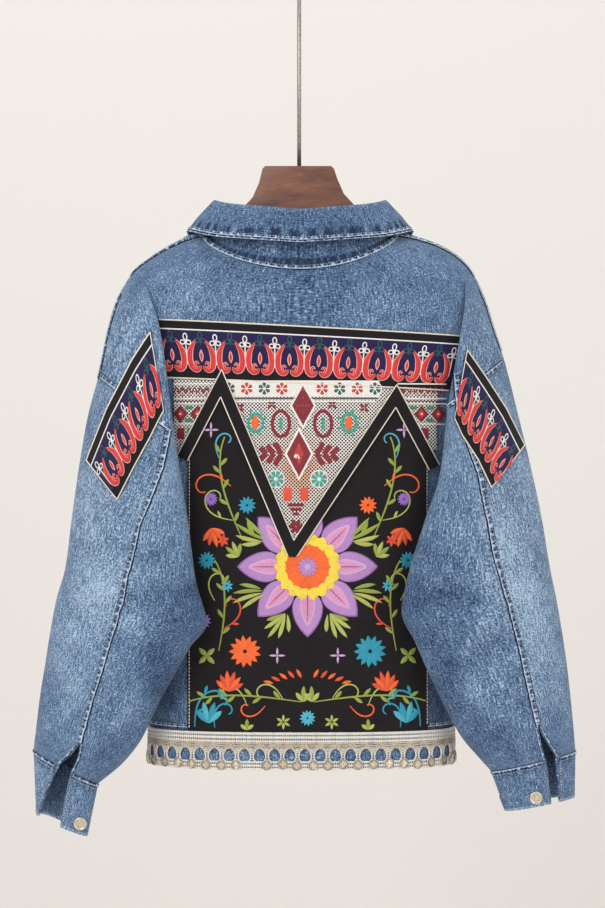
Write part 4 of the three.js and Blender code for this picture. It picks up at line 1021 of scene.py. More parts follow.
def lattice_outline(across, down):
    x = mix(*LATTICE_SIDES, across)
    beside = (x < ZIGZAG[0, 0]) | (x > ZIGZAG[-1, 0])
    low = np.where(beside, LATTICE_LOW, zigzag_z(x) + 0.5)
    return x, mix(band_low_z(x) - 0.8, low, down)


def panel_outline(across, down):
    x = mix(*PANEL_SIDES, across)
    return x, mix(zigzag_z(x) - 0.5, PANEL_LOW, down)


lattice = trim_cloth("lattice_cloth", 150, 60, lattice_outline, on_back, BASE_LIFT, 0.8, (290, 178), net.material)
panel = trim_cloth("panel_cloth", 140, 110, panel_outline, on_back, BASE_LIFT, 0.8, (263, 380), black_cotton.material)
pieces["lattice_ribbon"] = finished(lattice, ["lattice_ribbon"])
pieces["embroidered_panel"] = finished(panel, ["embroidered_panel"])
spots = np.empty(len(lattice.data.vertices) * 3, np.float32)
lattice.data.vertices.foreach_get("co", spots)
spots = spots.reshape(-1, 3) / MM
blush = np.exp(-((spots[:, 0] / 24) ** 2) - ((spots[:, 2] + 560) / 32) ** 2)
mark(lattice.data, "blush", 0.9 * blush)
real_uv = (spots[:, 0] + spots[:, 2]) * MM * 0.7, (spots[:, 0] - spots[:, 2]) * MM * 0.7
cloth_uv(lattice.data, *real_uv)


def mitred_edge(line, reach):
    """A line moved sideways by reach, with its corners kept sharp."""
    ways = np.diff(line, axis=0) / np.hypot(*np.diff(line, axis=0).T)[:, None]
    into = np.vstack([ways[:1], ways])
    out = np.vstack([ways, ways[-1:]])
    normal = np.stack([-(into + out)[:, 1], (into + out)[:, 0]], -1)
    normal /= np.hypot(*normal.T)[:, None]
    square = np.stack([-into[:, 1], into[:, 0]], -1)
    return line + normal * (reach / np.maximum((normal * square).sum(1), 0.3))[:, None]


STRIP_LIFT, TIP_CUT = 4.4, -655


def strip_outline(across, down):
    low, high = mitred_edge(ZIGZAG, -ZIGZAG_WIDTH / 2), mitred_edge(ZIGZAG, ZIGZAG_WIDTH / 2)
    marks = np.linspace(0, 1, len(ZIGZAG))
    ax, az = (np.interp(across, marks, high[:, i]) for i in (0, 1))
    bx, bz = (np.interp(across, marks, low[:, i]) for i in (0, 1))
    return mix(ax, bx, down), np.maximum(mix(az, bz, down), TIP_CUT)


strip = trim_cloth("zigzag_strip", 240, 8, strip_outline, on_back, STRIP_LIFT, 1.1, (690, 13.5), black_cotton.material)
pieces["zigzag_trim"] = finished(strip, ["zigzag_trim"])
declare_sheet(pieces["band_back"], (334, 66))
for hand in SLEEVES:
    declare_sheet(pieces[f"band_sleeve_{hand}"], (160, 100))
declare_sheet(lattice, (290, 178))
declare_sheet(panel, (263, 380))
declare_sheet(strip, (690, 14))

# %% [markdown]
# ## Needle and thread
#
# Satin stitch fills a shape with threads laid across it, so a stitched shape is a low dome along a
# line, wide where the shape is wide. Every shape below is such a line with its widths and its thread
# colour. The needle gathers them and makes one mesh of all the shapes on a piece of cloth, because
# thousands of separate objects would be no help to anyone.

# %% The needle
THREADS = {
    "red": (214, 46, 48), "rose": (236, 176, 160), "white": (238, 236, 230), "deep_teal": (20, 78, 84),
    "teal": (30, 150, 176), "sky": (72, 178, 198), "orange": (244, 104, 34), "flame": (226, 78, 44),
    "lilac": (180, 136, 196), "pale_lilac": (206, 170, 212), "pink": (222, 150, 186), "plum": (136, 86, 156),
    "violet": (150, 108, 196), "yellow": (240, 214, 66), "olive": (146, 164, 66), "lime": (176, 186, 92),
    "green": (66, 132, 96), "maroon": (128, 24, 40), "brick": (192, 58, 44),
    "black": (22, 20, 22), "cream": (232, 224, 206), "forest": (28, 92, 84), "jade": (64, 158, 142),
}


def smooth_line(points, count):
    """A fair line through a few places, with even steps."""
    points = np.asarray(points, float)
    if len(points) == 2:
        return mix(points[0], points[1], np.linspace(0, 1, count)[:, None])
    padded = np.vstack([2 * points[0] - points[1], points, 2 * points[-1] - points[-2]])
    at = np.linspace(0, len(points) - 1, 6 * count)
    i = np.minimum(at.astype(int), len(points) - 2)
    t = (at - i)[:, None]
    a, b, c, d = (padded[i + k] for k in range(4))
    fine = 0.5 * (2 * b + (c - a) * t + (2 * a - 5 * b + 4 * c - d) * t**2 + (3 * b - a - 3 * c + d) * t**3)
    steps = np.concatenate([[0], np.cumsum(np.hypot(*np.diff(fine, axis=0).T))])
    even = np.linspace(0, steps[-1], count)
    return np.stack([np.interp(even, steps, fine[:, k]) for k in (0, 1)], -1)


class Needle:
    def __init__(self, name, chart, put, lift):
        self.name, self.chart, self.put, self.lift = name, chart, put, lift
        self.corners, self.heights, self.faces, self.colours, self.uvs = [], [], [], [], []
        self.count = 0

    def stitch(self, line, widths, colour, rise=0.8, raised=0.0, across=5):
        """A satin shape: line in chart squares, its widths in squares, its height in millimetres."""
        line = np.asarray(line, float)
        widths = np.broadcast_to(np.asarray(widths, float), len(line))
        way = np.gradient(line, axis=0)
        way /= np.maximum(np.hypot(*way.T), 1e-9)[:, None]
        aside = np.stack([-way[:, 1], way[:, 0]], -1)
        t = np.linspace(-1, 1, across)
        spots = line[:, None] + aside[:, None] * (t[None, :, None] * widths[:, None, None] / 2)
        dome = np.sqrt(np.clip(1 - t**2, 0, 1))[None, :] * np.clip(widths / 2.4, 0.25, 1)[:, None] * rise
        heights = self.lift + raised + dome
        run = np.concatenate([[0], np.cumsum(np.hypot(*np.diff(line, axis=0).T))]) * SQUARE * MM
        n = len(line)
        first = self.count + np.arange(n - 1)[:, None] * across + np.arange(across - 1)[None, :]
        self.faces.append(np.stack([first, first + 1, first + 1 + across, first + across], -1).reshape(-1, 4))
        self.corners.append(spots.reshape(-1, 2))
        self.heights.append(heights.reshape(-1))
        self.uvs.append(np.stack([np.repeat(run, across), (t[None, :] * widths[:, None]).ravel() * SQUARE * MM / 2], -1)
                        + (self.count % 97) * 0.013)
        shade = 0.94 + 0.12 * ((self.count * 7919) % 101) / 101
        red, green, blue, _ = light(*THREADS[colour])
        self.colours.append(np.tile((red * shade, green * shade, blue * shade, 1), (n * across, 1)))
        self.count += n * across

    def line(self, points, width, colour, steps=None, ends=(1, 1), **more):
        """A stitched line that may thin towards its ends."""
        points = np.asarray(points, float)
        reach = np.hypot(*np.diff(points, axis=0).T).sum()
        steps = steps or int(np.clip(reach / 1.6, 5, 60))
        t = np.linspace(0, 1, steps)
        thin = np.minimum(mix(ends[0], 1, np.clip(t * 3, 0, 1)), mix(ends[1], 1, np.clip((1 - t) * 3, 0, 1)))
        self.stitch(smooth_line(points, steps), width * thin, colour, **more)

    def leaf(self, start, turn, length, width, colour, bend=0.0, fullest=0.45, steps=9, **more):
        """A pointed leaf or petal from its foot; turn 0 is to the right and 90 is up."""
        t = np.linspace(0, 1, steps)
        turns = np.radians(turn) + bend * (t - 0.3)
        step = length / (steps - 1)
        run = np.concatenate([[(0, 0)], np.cumsum(np.stack([np.cos(turns), -np.sin(turns)], -1)[:-1] * step, 0)])
        body = np.where(t < fullest, np.sin(np.pi / 2 * t / fullest) ** 0.8,
                np.cos(np.pi / 2 * (t - fullest) / (1 - fullest)) ** 0.8)
        self.stitch(np.asarray(start, float) + run, np.maximum(width * body, 0.12), colour, **more)

    def rosette(self, centre, inner, outer, petals, width, colour, turn=0.0, **more):
        for k in range(petals):
            way = turn + 360 * k / petals
            foot = (centre[0] + inner * math.cos(math.radians(way)), centre[1] - inner * math.sin(math.radians(way)))
            self.leaf(foot, way, outer - inner, width, colour, steps=6, across=4, **more)

    def ring(self, centre, radius, width, colour, steps=22, squash=1.0, **more):
        turns = np.linspace(0, 2 * np.pi, steps)
        line = np.stack([centre[0] + radius * np.cos(turns), centre[1] + radius * squash * np.sin(turns)], -1)
        self.stitch(line, width, colour, **more)

    def curl(self, start, turn, size, hand, width, colour, turns=1.35, **more):
        """A line that winds into a small spiral with a dot at its heart."""
        steps = 24
        t = np.linspace(0, 1, steps)
        way = np.radians(turn) + hand * 2 * np.pi * turns * t**1.25
        pace = size * 3.6 * (1.08 - t) / steps
        run = np.concatenate([[(0, 0)], np.cumsum(np.stack([np.cos(way), -np.sin(way)], -1)[:-1] * pace[:-1, None], 0)])
        line = np.asarray(start, float) + run
        self.stitch(line, width * mix(1.0, 0.8, t), colour, across=4, **more)
        self.leaf(line[-1] - (width * 0.5, 0), 0, width * 1.5, width * 1.3, colour, steps=5, across=4, **more)

    def tie_off(self, keep=None):
        """Makes the mesh; keep says which places of the chart are free to be sewn."""
        spots, heights = np.concatenate(self.corners), np.concatenate(self.heights)
        x, z = self.chart(spots[:, 0], spots[:, 1])
        places = self.put(x, z, heights) * MM
        faces = np.concatenate(self.faces)
        if keep:
            faces = faces[keep(x, z)[faces].all(1)]
        mesh = bpy.data.meshes.new(self.name)
        mesh.from_pydata(places.tolist(), [], faces.tolist())
        cloth_uv(mesh, *np.concatenate(self.uvs).T)
        layer = mesh.attributes.new("thread", "FLOAT_COLOR", "POINT")
        layer.data.foreach_set("color", np.concatenate(self.colours).astype(np.float32).ravel())
        piece = bpy.data.objects.new(self.name, mesh)
        bpy.context.collection.objects.link(piece)
        choose(piece)
        bpy.ops.object.shade_smooth()
        mesh.materials.append(satin.material)
        print(f"{self.name}: {len(faces) * 2} triangles")
        return piece

# %% [markdown]
# ## The woven band's figures
#
# The band repeats one traditional figure: a red lyre of two curved horns with a drop between them, and
# a white three-looped clover on a stem between each two lyres. One figure is drawn once, in squares
# along and down the band, and repeated; the back takes ten of them and each patch four or five.

# %% One repeat of the band, sewn along it
REPEAT = 30.5
BAND_DEPTH = 58.0


def band_chart(which, length):
    def chart(along, down):
        return on_band(which, np.asarray(along) / length, np.asarray(down) / BAND_DEPTH)
    return chart


def lyre(needle, s):
    """Two horns that open upwards from a foot, outlined in rose, with two curls and a drop between them."""
    for hand in (-1, 1):
        horn = [(s + hand * x, y) for x, y in ((2.4, 44.5), (2.6, 47.4), (6.2, 49), (10.2, 46.4), (12.2, 39),
                (11.4, 31), (8.6, 25), (5.2, 20))]
        needle.line(horn, 6.6, "rose", ends=(0.4, 0.3), rise=0.3, steps=22)
        needle.line(horn, 5.0, "red", ends=(0.4, 0.3), rise=0.8, raised=0.2, steps=22)
        curl = [(s + hand * x, y) for x, y in ((2.6, 47), (6.6, 46), (7.4, 42.6), (4.8, 41), (3.4, 43.2))]
        needle.line(curl, 2.9, "rose", ends=(0.7, 0.5), rise=0.3, raised=0.3, steps=10)
        needle.line(curl, 1.7, "red", ends=(0.8, 0.5), rise=0.5, raised=0.5, steps=10)
    needle.leaf((s, 41), 90, 12.5, 4.4, "rose", fullest=0.5, rise=0.4, raised=0.2)
    needle.leaf((s, 39.6), 90, 9.6, 2.8, "red", fullest=0.5, rise=0.6, raised=0.4)


def clover(needle, s, top, colour, width=1.0, stem=14):
    """Three open loops on a stem."""
    needle.ring((s, top + 3.2), 2.0, width, colour, steps=12, across=4, squash=1.6, rise=0.5)
    for hand in (-1, 1):
        needle.ring((s + hand * 3.1, top + 8.6), 2.3, width, colour, steps=12, across=4, squash=0.9, rise=0.5)
    needle.line([(s, top + 6), (s, top + 6 + stem)], width * 1.1, colour, across=4, ends=(1, 0.5))


for which, length in {"back": 304, "left": 128, "right": 116}.items():
    needle = Needle(f"band_{which}_stitches", band_chart(which, length), place_on(which), FIELD_LIFT + 0.1)
    count = int(length / REPEAT) + 1
    start = 10 if which == "back" else 14
    for k in range(count):
        s = start + k * REPEAT
        if s < length - 10:
            lyre(needle, s)
            clover(needle, s, 11.4, "deep_teal", 1.1, 7)
        if s + REPEAT / 2 < length - 3:
            clover(needle, s + REPEAT / 2, 13.4, "white", 1.15, 24)
    for down, width, colour in ((0.8, 1.4, "cream"), (9.6, 1.3, "white"), (57.3, 1.4, "cream")):
        needle.line([(0.6, down), (length - 0.6, down)], width, colour, steps=int(length / 2.5), rise=0.5, across=4)
    for end in (1.0, length - 1.0):
        if which != "back":
            needle.line([(end, 0.8), (end, 57.4)], 1.3, "cream", steps=26, rise=0.5, across=4)
    pieces[f"stitches_{which}"] = finished(needle.tie_off())

# %% [markdown]
# ## The net V and the lattice beside it
#
# The V is cotton net with a traditional chart worked on it: a row of small wheels along the top, a
# stepped diamond and a long one down the middle, rings and chevrons beside them, and a star near the
# tip. Each figure is made by a rule from wheels, rings, diamonds and straight blocks of stitches.

# %% Wheels, diamonds and chevrons on the net
flat_chart = lambda column, row: from_chart(column, row)
net_needle = Needle("net_stitches", flat_chart, on_back, BASE_LIFT + 0.1)


def wheel(needle, centre, radius, colour, heart, spokes=6):
    """Coloured wedges between white spokes, in a white rim."""
    needle.rosette(centre, 0.6, radius, spokes, radius * 0.86, colour, turn=30, rise=0.5)
    for k in range(spokes):
        way = math.radians(60 * k) if spokes == 6 else 2 * math.pi * k / spokes
        needle.line([centre, (centre[0] + radius * math.cos(way), centre[1] - radius * math.sin(way))], 1.0, heart,
                rise=0.4, raised=0.35, steps=4, across=3)
    needle.ring(centre, radius * 1.02, 1.0, heart, steps=18, rise=0.4, across=4, raised=0.3)
    needle.leaf((centre[0] - 0.9, centre[1]), 0, 1.8, 1.8, heart, raised=0.5, steps=5)


def block(needle, corners, colour, rise=0.6, rows=None, raised=0.0):
    """A four-cornered block of stitches: the two ends of its upper and its lower edge."""
    a, b, c, d = (np.asarray(corner, float) for corner in corners)
    start, end = (a + c) / 2, (b + d) / 2
    t = np.linspace(0, 1, rows or 4)
    widths = mix(np.hypot(*(a - c)), np.hypot(*(b - d)), t)
    needle.stitch(mix(start, end, t[:, None]), np.maximum(widths, 0.1), colour, rise=rise, raised=raised)


def diamond(needle, centre, half_width, half_height, colour, rise=0.6, raised=0.0):
    t = np.linspace(-1, 1, 9)
    needle.stitch(np.stack([np.full(9, centre[0]), centre[1] + t * half_height], -1),
                  np.maximum(2 * half_width * (1 - np.abs(t)), 0.15), colour, rise=rise, raised=raised)


def half_width_of_v(row):
    """How far the net reaches from the V's middle at a row of the chart."""
    return np.interp(row, [392, 540], [79, 0]) - 2


for hand, reach in ((-1, 76), (1, 82)):
    block(net_needle, [(300, 381.5), (300 + hand * reach, 381.5), (300, 397), (300 + hand * reach * 0.93, 397)],
            "white", rise=0.15, rows=40)
for hand in (-1, 1):
    for k in range(4):
        wheel(net_needle, (302 + hand * (20 + 17.5 * k), 389), 6.6, ("brick", "forest")[k % 2], "white")
for row, width, colour in ((381.6, 1.4, "white"), (398.6, 1.1, "black"), (401.6, 1.5, "white")):
    reach = 78 if row < 390 else half_width_of_v(row) + 3
    net_needle.line([(300 - reach, row), (300 + reach, row)], width, colour, steps=60, rise=0.5, across=4, raised=0.2)
for centre, wide, high in (((303, 406), 10.8, 20), ((299, 454), 12.0, 23)):
    diamond(net_needle, centre, wide + 2.4, high + 4, "white", rise=0.35, raised=0.3)
    diamond(net_needle, centre, wide, high, "maroon", rise=0.6, raised=0.5)
diamond(net_needle, (299, 454), 6.4, 12, "brick", rise=0.4, raised=0.85)
net_needle.curl((299, 459), 90, 4.4, 1, 1.8, "white", turns=0.9, raised=1.1, rise=0.5)
for a, b in (((303, 387), (303, 424)), ((296, 406), (310, 406))):
    for k in range(5):
        spot_x, spot_y = mix(a[0], b[0], (k + 0.5) / 5), mix(a[1], b[1], (k + 0.5) / 5)
        net_needle.leaf((spot_x - 1, spot_y), 0, 2.2, 2.0, "brick", raised=0.95, steps=5, rise=0.4)
for hand in (-1, 1):
    # an eye of teal steps round an orange oval
    eye = (302 + hand * 46.5, 423)
    for k in range(14):
        way = 2 * math.pi * k / 14
        net_needle.leaf((eye[0] + 7.2 * math.cos(way) - 1.6, eye[1] + 9 * math.sin(way)), 0, 4.4, 4.4, "jade",
                steps=5, rise=0.4)
    for k in range(8):
        way = 2 * math.pi * (k + 0.5) / 8
        net_needle.leaf((eye[0] + 11 * math.cos(way) - 1.2, eye[1] + 13 * math.sin(way)), 0, 2.8, 2.8, "jade",
                steps=5, rise=0.4)
    net_needle.leaf((eye[0], eye[1] + 7.6), 90, 15, 7.4, "orange", fullest=0.5, steps=9, rise=0.5, raised=0.4)
    # a tall maroon ring with a teal bar in it
    net_needle.ring((302 + hand * 21, 424), 8.5, 3.4, "maroon", steps=24, squash=1.5, rise=0.5)
    net_needle.line([(302 + hand * 21, 418), (302 + hand * 21, 430)], 3.2, "jade", steps=8, rise=0.4)
    # stepped chevrons that point outwards
    for k in range(3):
        column = 299 + hand * (15 + 7.4 * k)
        for flip in (-1, 1):
            block(net_needle, [(column, 454), (column + hand * 6.4, 454 + flip * (11 - 2.4 * k)),
                               (column + hand * 5.2, 454), (column + hand * 11.6,
                                       454 + flip * (11 - 2.4 * k))], "maroon", rise=0.5)
    # small maroon stars under the wheels, and a wheel of white spokes
    for dx, row in ((62, 408), (30, 405)):
        net_needle.rosette((302 + hand * dx, row), 0.4, 5.6, 4, 3.0, "maroon", turn=45, rise=0.4)
    wheel(net_needle, (297.5 + hand * 21.5, 479), 8.4, "jade", "white", 8)
    # a slanting block and three steps near the tip
    block(net_needle, [(296 + hand * 3, 488), (296 + hand * 9, 488), (296 + hand * 6, 500),
            (296 + hand * 15, 500)], "flame", raised=0.2)
    for k in range(3):
        top, reach = 503 + 4.5 * k, 8 - 2.5 * k
        block(net_needle, [(296, top), (296 + hand * reach, top), (296, top + 3), (296 + hand * reach, top + 3)],
                "maroon", raised=0.2)
net_needle.rosette((296, 526), 0.5, 8, 6, 4.6, "maroon", turn=0, rise=0.6)

# %% The ribbon's upper row and the lattice beside the V
for hand in (-1, 1):
    edge_columns = (174, 221) if hand < 0 else (397, 446)
    for k in range(8):
        column = edge_columns[0] + 3 + 6 * k
        if column < edge_columns[1] - 1:
            net_needle.line([(column - 2.6, 393), (column, 387.5), (column + 2.6, 393)], 1.6, "maroon", rise=0.5,
                    steps=7, across=4)
            net_needle.leaf((column - 0.8, 395.4), 0, 1.8, 1.6, "brick", steps=5, across=4)
    for row, width, colour in ((384, 1.4, "white"), (398.5, 1.4, "white"), (401.2, 0.9, "maroon"),
            (403.6, 1.2, "white"), (424, 1.2, "white")):
        net_needle.line([(edge_columns[0], row), (edge_columns[1], row)], width, colour, steps=16, rise=0.5, across=4)
    for k in range(3):
        column = edge_columns[0] + 7 + 17 * k
        if column < edge_columns[1] - 4:
            diamond(net_needle, (column, 414), 7.4, 8.6, "maroon", rise=0.5)
            diamond(net_needle, (column, 414), 4.2, 4.8, "brick", rise=0.5, raised=0.3)
            diamond(net_needle, (column, 414), 1.5, 1.8, "white", rise=0.4, raised=0.6)
        if column + 8.5 < edge_columns[1] - 5:
            block(net_needle, [(column + 5, 406), (column + 12, 406), (column + 5, 409.5), (column + 12, 409.5)],
                    "green")
            block(net_needle, [(column + 5, 418.5), (column + 12, 418.5), (column + 5, 422), (column + 12, 422)],
                    "green")
    for k in range(3):
        column = edge_columns[0] + 4 + 10 * k
        if column < edge_columns[1] - 12:
            block(net_needle, [(column, 428), (column + 7, 428), (column, 439), (column + 7, 439)],
                    "green" if k % 2 else "maroon")


def above_strip(x, z):
    return z > zigzag_z(x) - 1


def below_strip(x, z):
    return z < zigzag_z(x) + 1


pieces["net_stitches"] = finished(net_needle.tie_off(above_strip))

# %% [markdown]
# ## The panel's flowers
#
# The black panel is worked in satin stitch: one great flower low in the middle, leaf sprays round it,
# tendrils and leaf fans up both sides, and daisies and small stars between them. The photo gives the
# kinds of motif, their colours and their scale. The layout is our own, so nothing is copied line by
# line: every tendril winds by one rule, and a short table says where each one starts. The two halves
# mirror each other except in colour, so each row is sewn twice.

# %% Motifs of the panel
MIDDLE = 307.5
flowers = Needle("panel_stitches", flat_chart, on_back, BASE_LIFT + 0.1)


def both_sides(points, hand):
    return [(MIDDLE + hand * dx, row) for dx, row in points]


def turned(turn, hand):
    return turn if hand > 0 else 180 - turn


def great_petal(needle, centre, turn, length, width):
    way = math.radians(turn)

    def out(reach):
        return (centre[0] + reach * math.cos(way), centre[1] - reach * math.sin(way))
    needle.leaf(out(20), turn, length, width + 1.8, "plum", fullest=0.42, steps=16, rise=0.3, across=7)
    needle.leaf(out(20), turn, length - 1.6, width, "lilac", fullest=0.42, steps=16, rise=0.6, raised=0.1, across=7)
    needle.leaf(out(22), turn, length * 0.76, width * 0.62, "pale_lilac", fullest=0.42, steps=14, rise=0.3,
            raised=0.5, across=7)
    needle.leaf(out(22), turn, length * 0.7, width * 0.5, "pink", fullest=0.42, steps=14, rise=0.35, raised=0.6,
            across=7)
    for step in range(7):
        for side in (-1, 1):
            size = width * 0.26 * (1 - 0.09 * step)
            needle.leaf(out(24 + length * 0.52 * step / 7), turn + side * 44, size, 0.75, "lilac", rise=0.3,
                    raised=0.95, steps=5, across=3)
    needle.line([out(22), out(22 + length * 0.64)], 1.1, "plum", rise=0.3, raised=1.0, across=4, steps=8, ends=(1, 0.4))


def great_flower(needle, centre):
    for turn in range(0, 360, 45):
        great_petal(needle, centre, turn, 50, 29)
    turns = np.linspace(0, 2 * np.pi, 60)
    for reach, width, colour, raised in ((25, 11, "yellow", 0.75), (17, 13, "orange", 0.8), (8, 14, "orange", 0.85)):
        line = np.stack([centre[0] + reach * np.cos(turns), centre[1] - reach * np.sin(turns)], -1)
        needle.stitch(line, width, colour, rise=0.4, raised=raised, across=6)
    for k in range(18):
        way = 2 * math.pi * k / 18
        scallop = (centre[0] + 26 * math.cos(way), centre[1] - 26 * math.sin(way))
        needle.leaf(scallop, math.degrees(way), 7.5, 9.5, "yellow", fullest=0.4, steps=8, rise=0.7, raised=0.7)
    for k in range(17):
        way = 2 * math.pi * k / 17
        needle.leaf((centre[0] + 9 * math.cos(way), centre[1] - 9 * math.sin(way)), math.degrees(way), 14, 6.5,
                "orange", fullest=0.7, steps=7, rise=0.4, raised=1.15)
    needle.rosette(centre, 0.4, 10.4, 14, 3.6, "lilac", rise=0.4, raised=1.6)
    needle.rosette(centre, 0.2, 3.6, 6, 1.8, "pale_lilac", rise=0.3, raised=2.0)


def daisy(needle, centre, radius, colour, petals=12, heart=None, turn=8):
    needle.rosette(centre, radius * 0.1, radius, petals, radius * 0.36, colour, turn=turn, rise=0.7)
    if heart:
        needle.rosette(centre, 0, radius * 0.28, 6, radius * 0.2, heart, rise=0.4, raised=0.6)


def scroll(needle, points, hand, width, colour, ends=(0.5, 0.8)):
    """A drawn line that may wind up at its end; its points are (distance from the middle, row)."""
    needle.line(both_sides(points, hand), width, colour, ends=ends, across=4, steps=int(7 + 3.2 * len(points)))


# %% Tendrils and leaf fans, set out by rule
def tendril(start, heading, length, wind):
    """Sets out along its heading, in degrees, and winds up tighter as it goes, like a watch spring."""
    share = np.linspace(0, 1, 15)
    ways = heading + wind * share**1.7
    pace = length / 14 * (1.35 - 0.7 * share)
    steps = np.stack([pace * np.cos(np.radians(ways)), -pace * np.sin(np.radians(ways))], -1)
    return np.vstack([start, np.array(start) + np.cumsum(steps[:-1], axis=0)]), ways


# thread, width, distance from the middle, row, heading, length, wind, leaves, leaf length
TENDRILS = [
    ("olive", 1.8, 64, 540, 66, 105, 50, 6, 11), ("lime", 1.5, 74, 520, 10, 62, 300, 1, 8),
    ("orange", 1.7, 76, 486, 40, 56, -270, 1, 8), ("sky", 1.6, 88, 458, 70, 42, 290, 0, 0),
    ("olive", 1.8, 88, 650, 100, 90, -45, 6, 11), ("flame", 1.7, 84, 628, 150, 52, -280, 1, 8),
    ("lime", 1.5, 92, 600, 60, 44, 270, 0, 0), ("olive", 1.8, 6, 700, 8, 110, -30, 7, 11),
    ("lime", 1.5, 24, 698, 60, 46, -290, 0, 0), ("lime", 1.5, 60, 704, 70, 46, -280, 0, 0),
    ("orange", 1.6, 42, 704, -50, 40, 290, 0, 0), ("teal", 1.9, 112, 726, 92, 66, 230, 3, 10),
    ("teal", 1.7, 92, 726, 84, 44, 280, 1, 8),
]
# threads, distance from the middle, row, middle heading, spread, leaves, length, width
FANS = [
    (("orange", "flame"), 96, 528, 250, 100, 5, 20, 4.6), (("lime", "olive"), 68, 556, 50, 90, 4, 18, 4.2),
    (("orange", "flame"), 78, 690, 95, 110, 6, 22, 4.8), (("lime", "olive"), 4, 700, 90, 80, 3, 16, 4.4),
    (("teal", "sky"), 98, 722, 90, 90, 4, 24, 5.6), (("lime", "olive"), 60, 728, 90, 100, 3, 11, 3.8),
]

# %% Sew the panel
great_flower(flowers, (MIDDLE, 566))
for hand in (-1, 1):
    def spot(dx, row):
        return (MIDDLE + hand * dx, row)
    warm, cool = ("orange", "teal") if hand < 0 else ("teal", "orange")
    for colour, width, dx, row, heading, length, wind, leaves, leaf_length in TENDRILS:
        points, ways = tendril((dx, row), heading, length, wind)
        scroll(flowers, points, hand, width, colour)
        for k in range(leaves):
            at = 2 + round(11 * k / leaves)
            flowers.leaf(spot(*points[at]), turned(ways[at] + (40, -40)[k % 2], hand), leaf_length,
                    leaf_length * 0.32, colour,
                         fullest=0.6, steps=9, across=4, bend=0.16 * hand)
    for threads, dx, row, heading, spread, leaves, length, width in FANS:
        for k in range(leaves):
            share = k / (leaves - 1) - 0.5
            flowers.leaf(spot(dx, row), turned(heading + spread * share, hand), length * (1 - 0.5 * abs(share)), width,
                         threads[k % 2], fullest=0.6, steps=9, across=4, bend=0.16 * hand)
    # crosses, daisies and small stars
    for dx, row, size in ((96, 430, 8), (30, 654, 8)):
        flowers.rosette(spot(dx, row), 0, size, 4, 2.2, "pale_lilac", rise=0.6)
    for dx, row, radius, colour, petals in ((96, 499, 7, "violet", 13), (100, 560, 9, "teal", 12),
            (104, 620, 8.5, "violet", 12),
                                            (80, 585, 6.5, "sky", 8), (62, 650, 16, warm, 13), (60, 505, 9, cool, 11)):
        daisy(flowers, spot(dx, row), radius, colour, petals, turn=15)
    flowers.rosette(spot(84, 540), 0.4, 6.5, 6, 3.2, "flame", turn=20)
    flowers.rosette(spot(100, 655), 0, 11, 4, 5.0, "olive", turn=45, rise=0.7)
    # leaf sprays round the great flower
    for foot, turn, length in (((40, 538), 42, 30), ((40, 540), 26, 36), ((44, 541), 10, 28), ((46, 542), -8, 20),
            ((52, 536), 62, 18)):
        flowers.leaf(spot(*foot), turned(turn, hand), length, 4.2, ("lime", "olive")[length % 3 == 0], fullest=0.6,
                steps=10, across=4, bend=0.3 * hand)
    for foot, turn, length in (((44, 590), -2, 30), ((44, 592), -16, 32), ((42, 593), -30, 28), ((46, 588), 14, 22)):
        flowers.leaf(spot(*foot), turned(turn, hand), length, 4.0, ("olive", "lime")[length % 4 == 0], fullest=0.6,
                steps=10, across=4, bend=-0.3 * hand)
    for foot, turn, length in (((22, 612), -76, 26), ((22, 612), -56, 30), ((22, 612), -38, 26),
            ((22, 612), -22, 20), ((20, 613), -96, 18)):
        flowers.leaf(spot(*foot), turned(turn, hand), length, 4.0, ("lime", "olive")[length % 4 == 0], fullest=0.7,
                steps=10, across=4, bend=0.2 * hand)
    # a garland of small leaves under the great flower
    for k in range(5):
        flowers.leaf(spot(6 + 7 * k, 676 + 0.35 * k * k), turned(60 - 12 * k, hand), 10, 3.4,
                ("orange", "flame")[k % 2], steps=7, across=4)
    daisy(flowers, spot(24, 720), 7.5, "lime", 6, turn=30)
daisy(flowers, (MIDDLE, 716), 8, "sky", 12)
for side in (-1, 1):
    edge = MIDDLE - 300 + (119 if side > 0 else -117.5)
    column = 300 + edge
    low, high = 728, (463 if side > 0 else 456)
    steps = int((low - high) / 3.4)
    for k in range(steps):
        flowers.line([(column, high + 3.4 * k), (column, high + 3.4 * k + 2.3)], 0.8, "cream", steps=4, rise=0.4,
                across=3)
pieces["panel_stitches"] = finished(flowers.tie_off(below_strip))

# %% Pale piping along both edges of the zigzag strip
piping_needle = Needle("zigzag_piping", lambda x, z: (x, np.maximum(z, TIP_CUT)), on_back, STRIP_LIFT)
for reach in (-ZIGZAG_WIDTH / 2 + 0.4, ZIGZAG_WIDTH / 2 - 0.4):
    edge = mitred_edge(ZIGZAG, reach)
    for a, b in zip(edge[:-1], edge[1:]):
        piping_needle.line([a, b], 1.15, "cream", steps=int(np.hypot(*(b - a)) / 2.4), rise=0.5, across=4)
pieces["zigzag_piping"] = finished(piping_needle.tie_off())

# %% [markdown]
# ## Seams
#
# Jeans seams are felled: one edge is folded round the other and sewn down twice, which leaves a flat
# rib. After washing, the rib puckers like a rope. Each seam here is a low rib laid along a line on the
# cloth, with two rows of separate stitches sunk into it. Its light and dark are painted: painted shade
# along both feet of the rib and in the dips of the puckers, paler on their rises, and a pale worn line
# at the fold.

# %% Lines on a surface, ribs and stitches
def surface_line(surface, axis, a, b, lift):
    """Points on a surface and the direction out of it, away from an axis."""
    step_a, step_b = 1e-3, 1e-3 * max(1.0, float(np.ptp(b)))
    here = surface(a, b)
    out = np.cross(surface(a + step_a, b) - here, surface(a, b + step_b) - here)
    out /= np.maximum(np.linalg.norm(out, axis=1), 1e-12)[:, None]
    out *= np.sign((out * (here - axis(here))).sum(1))[:, None]
    return here + out * lift, out


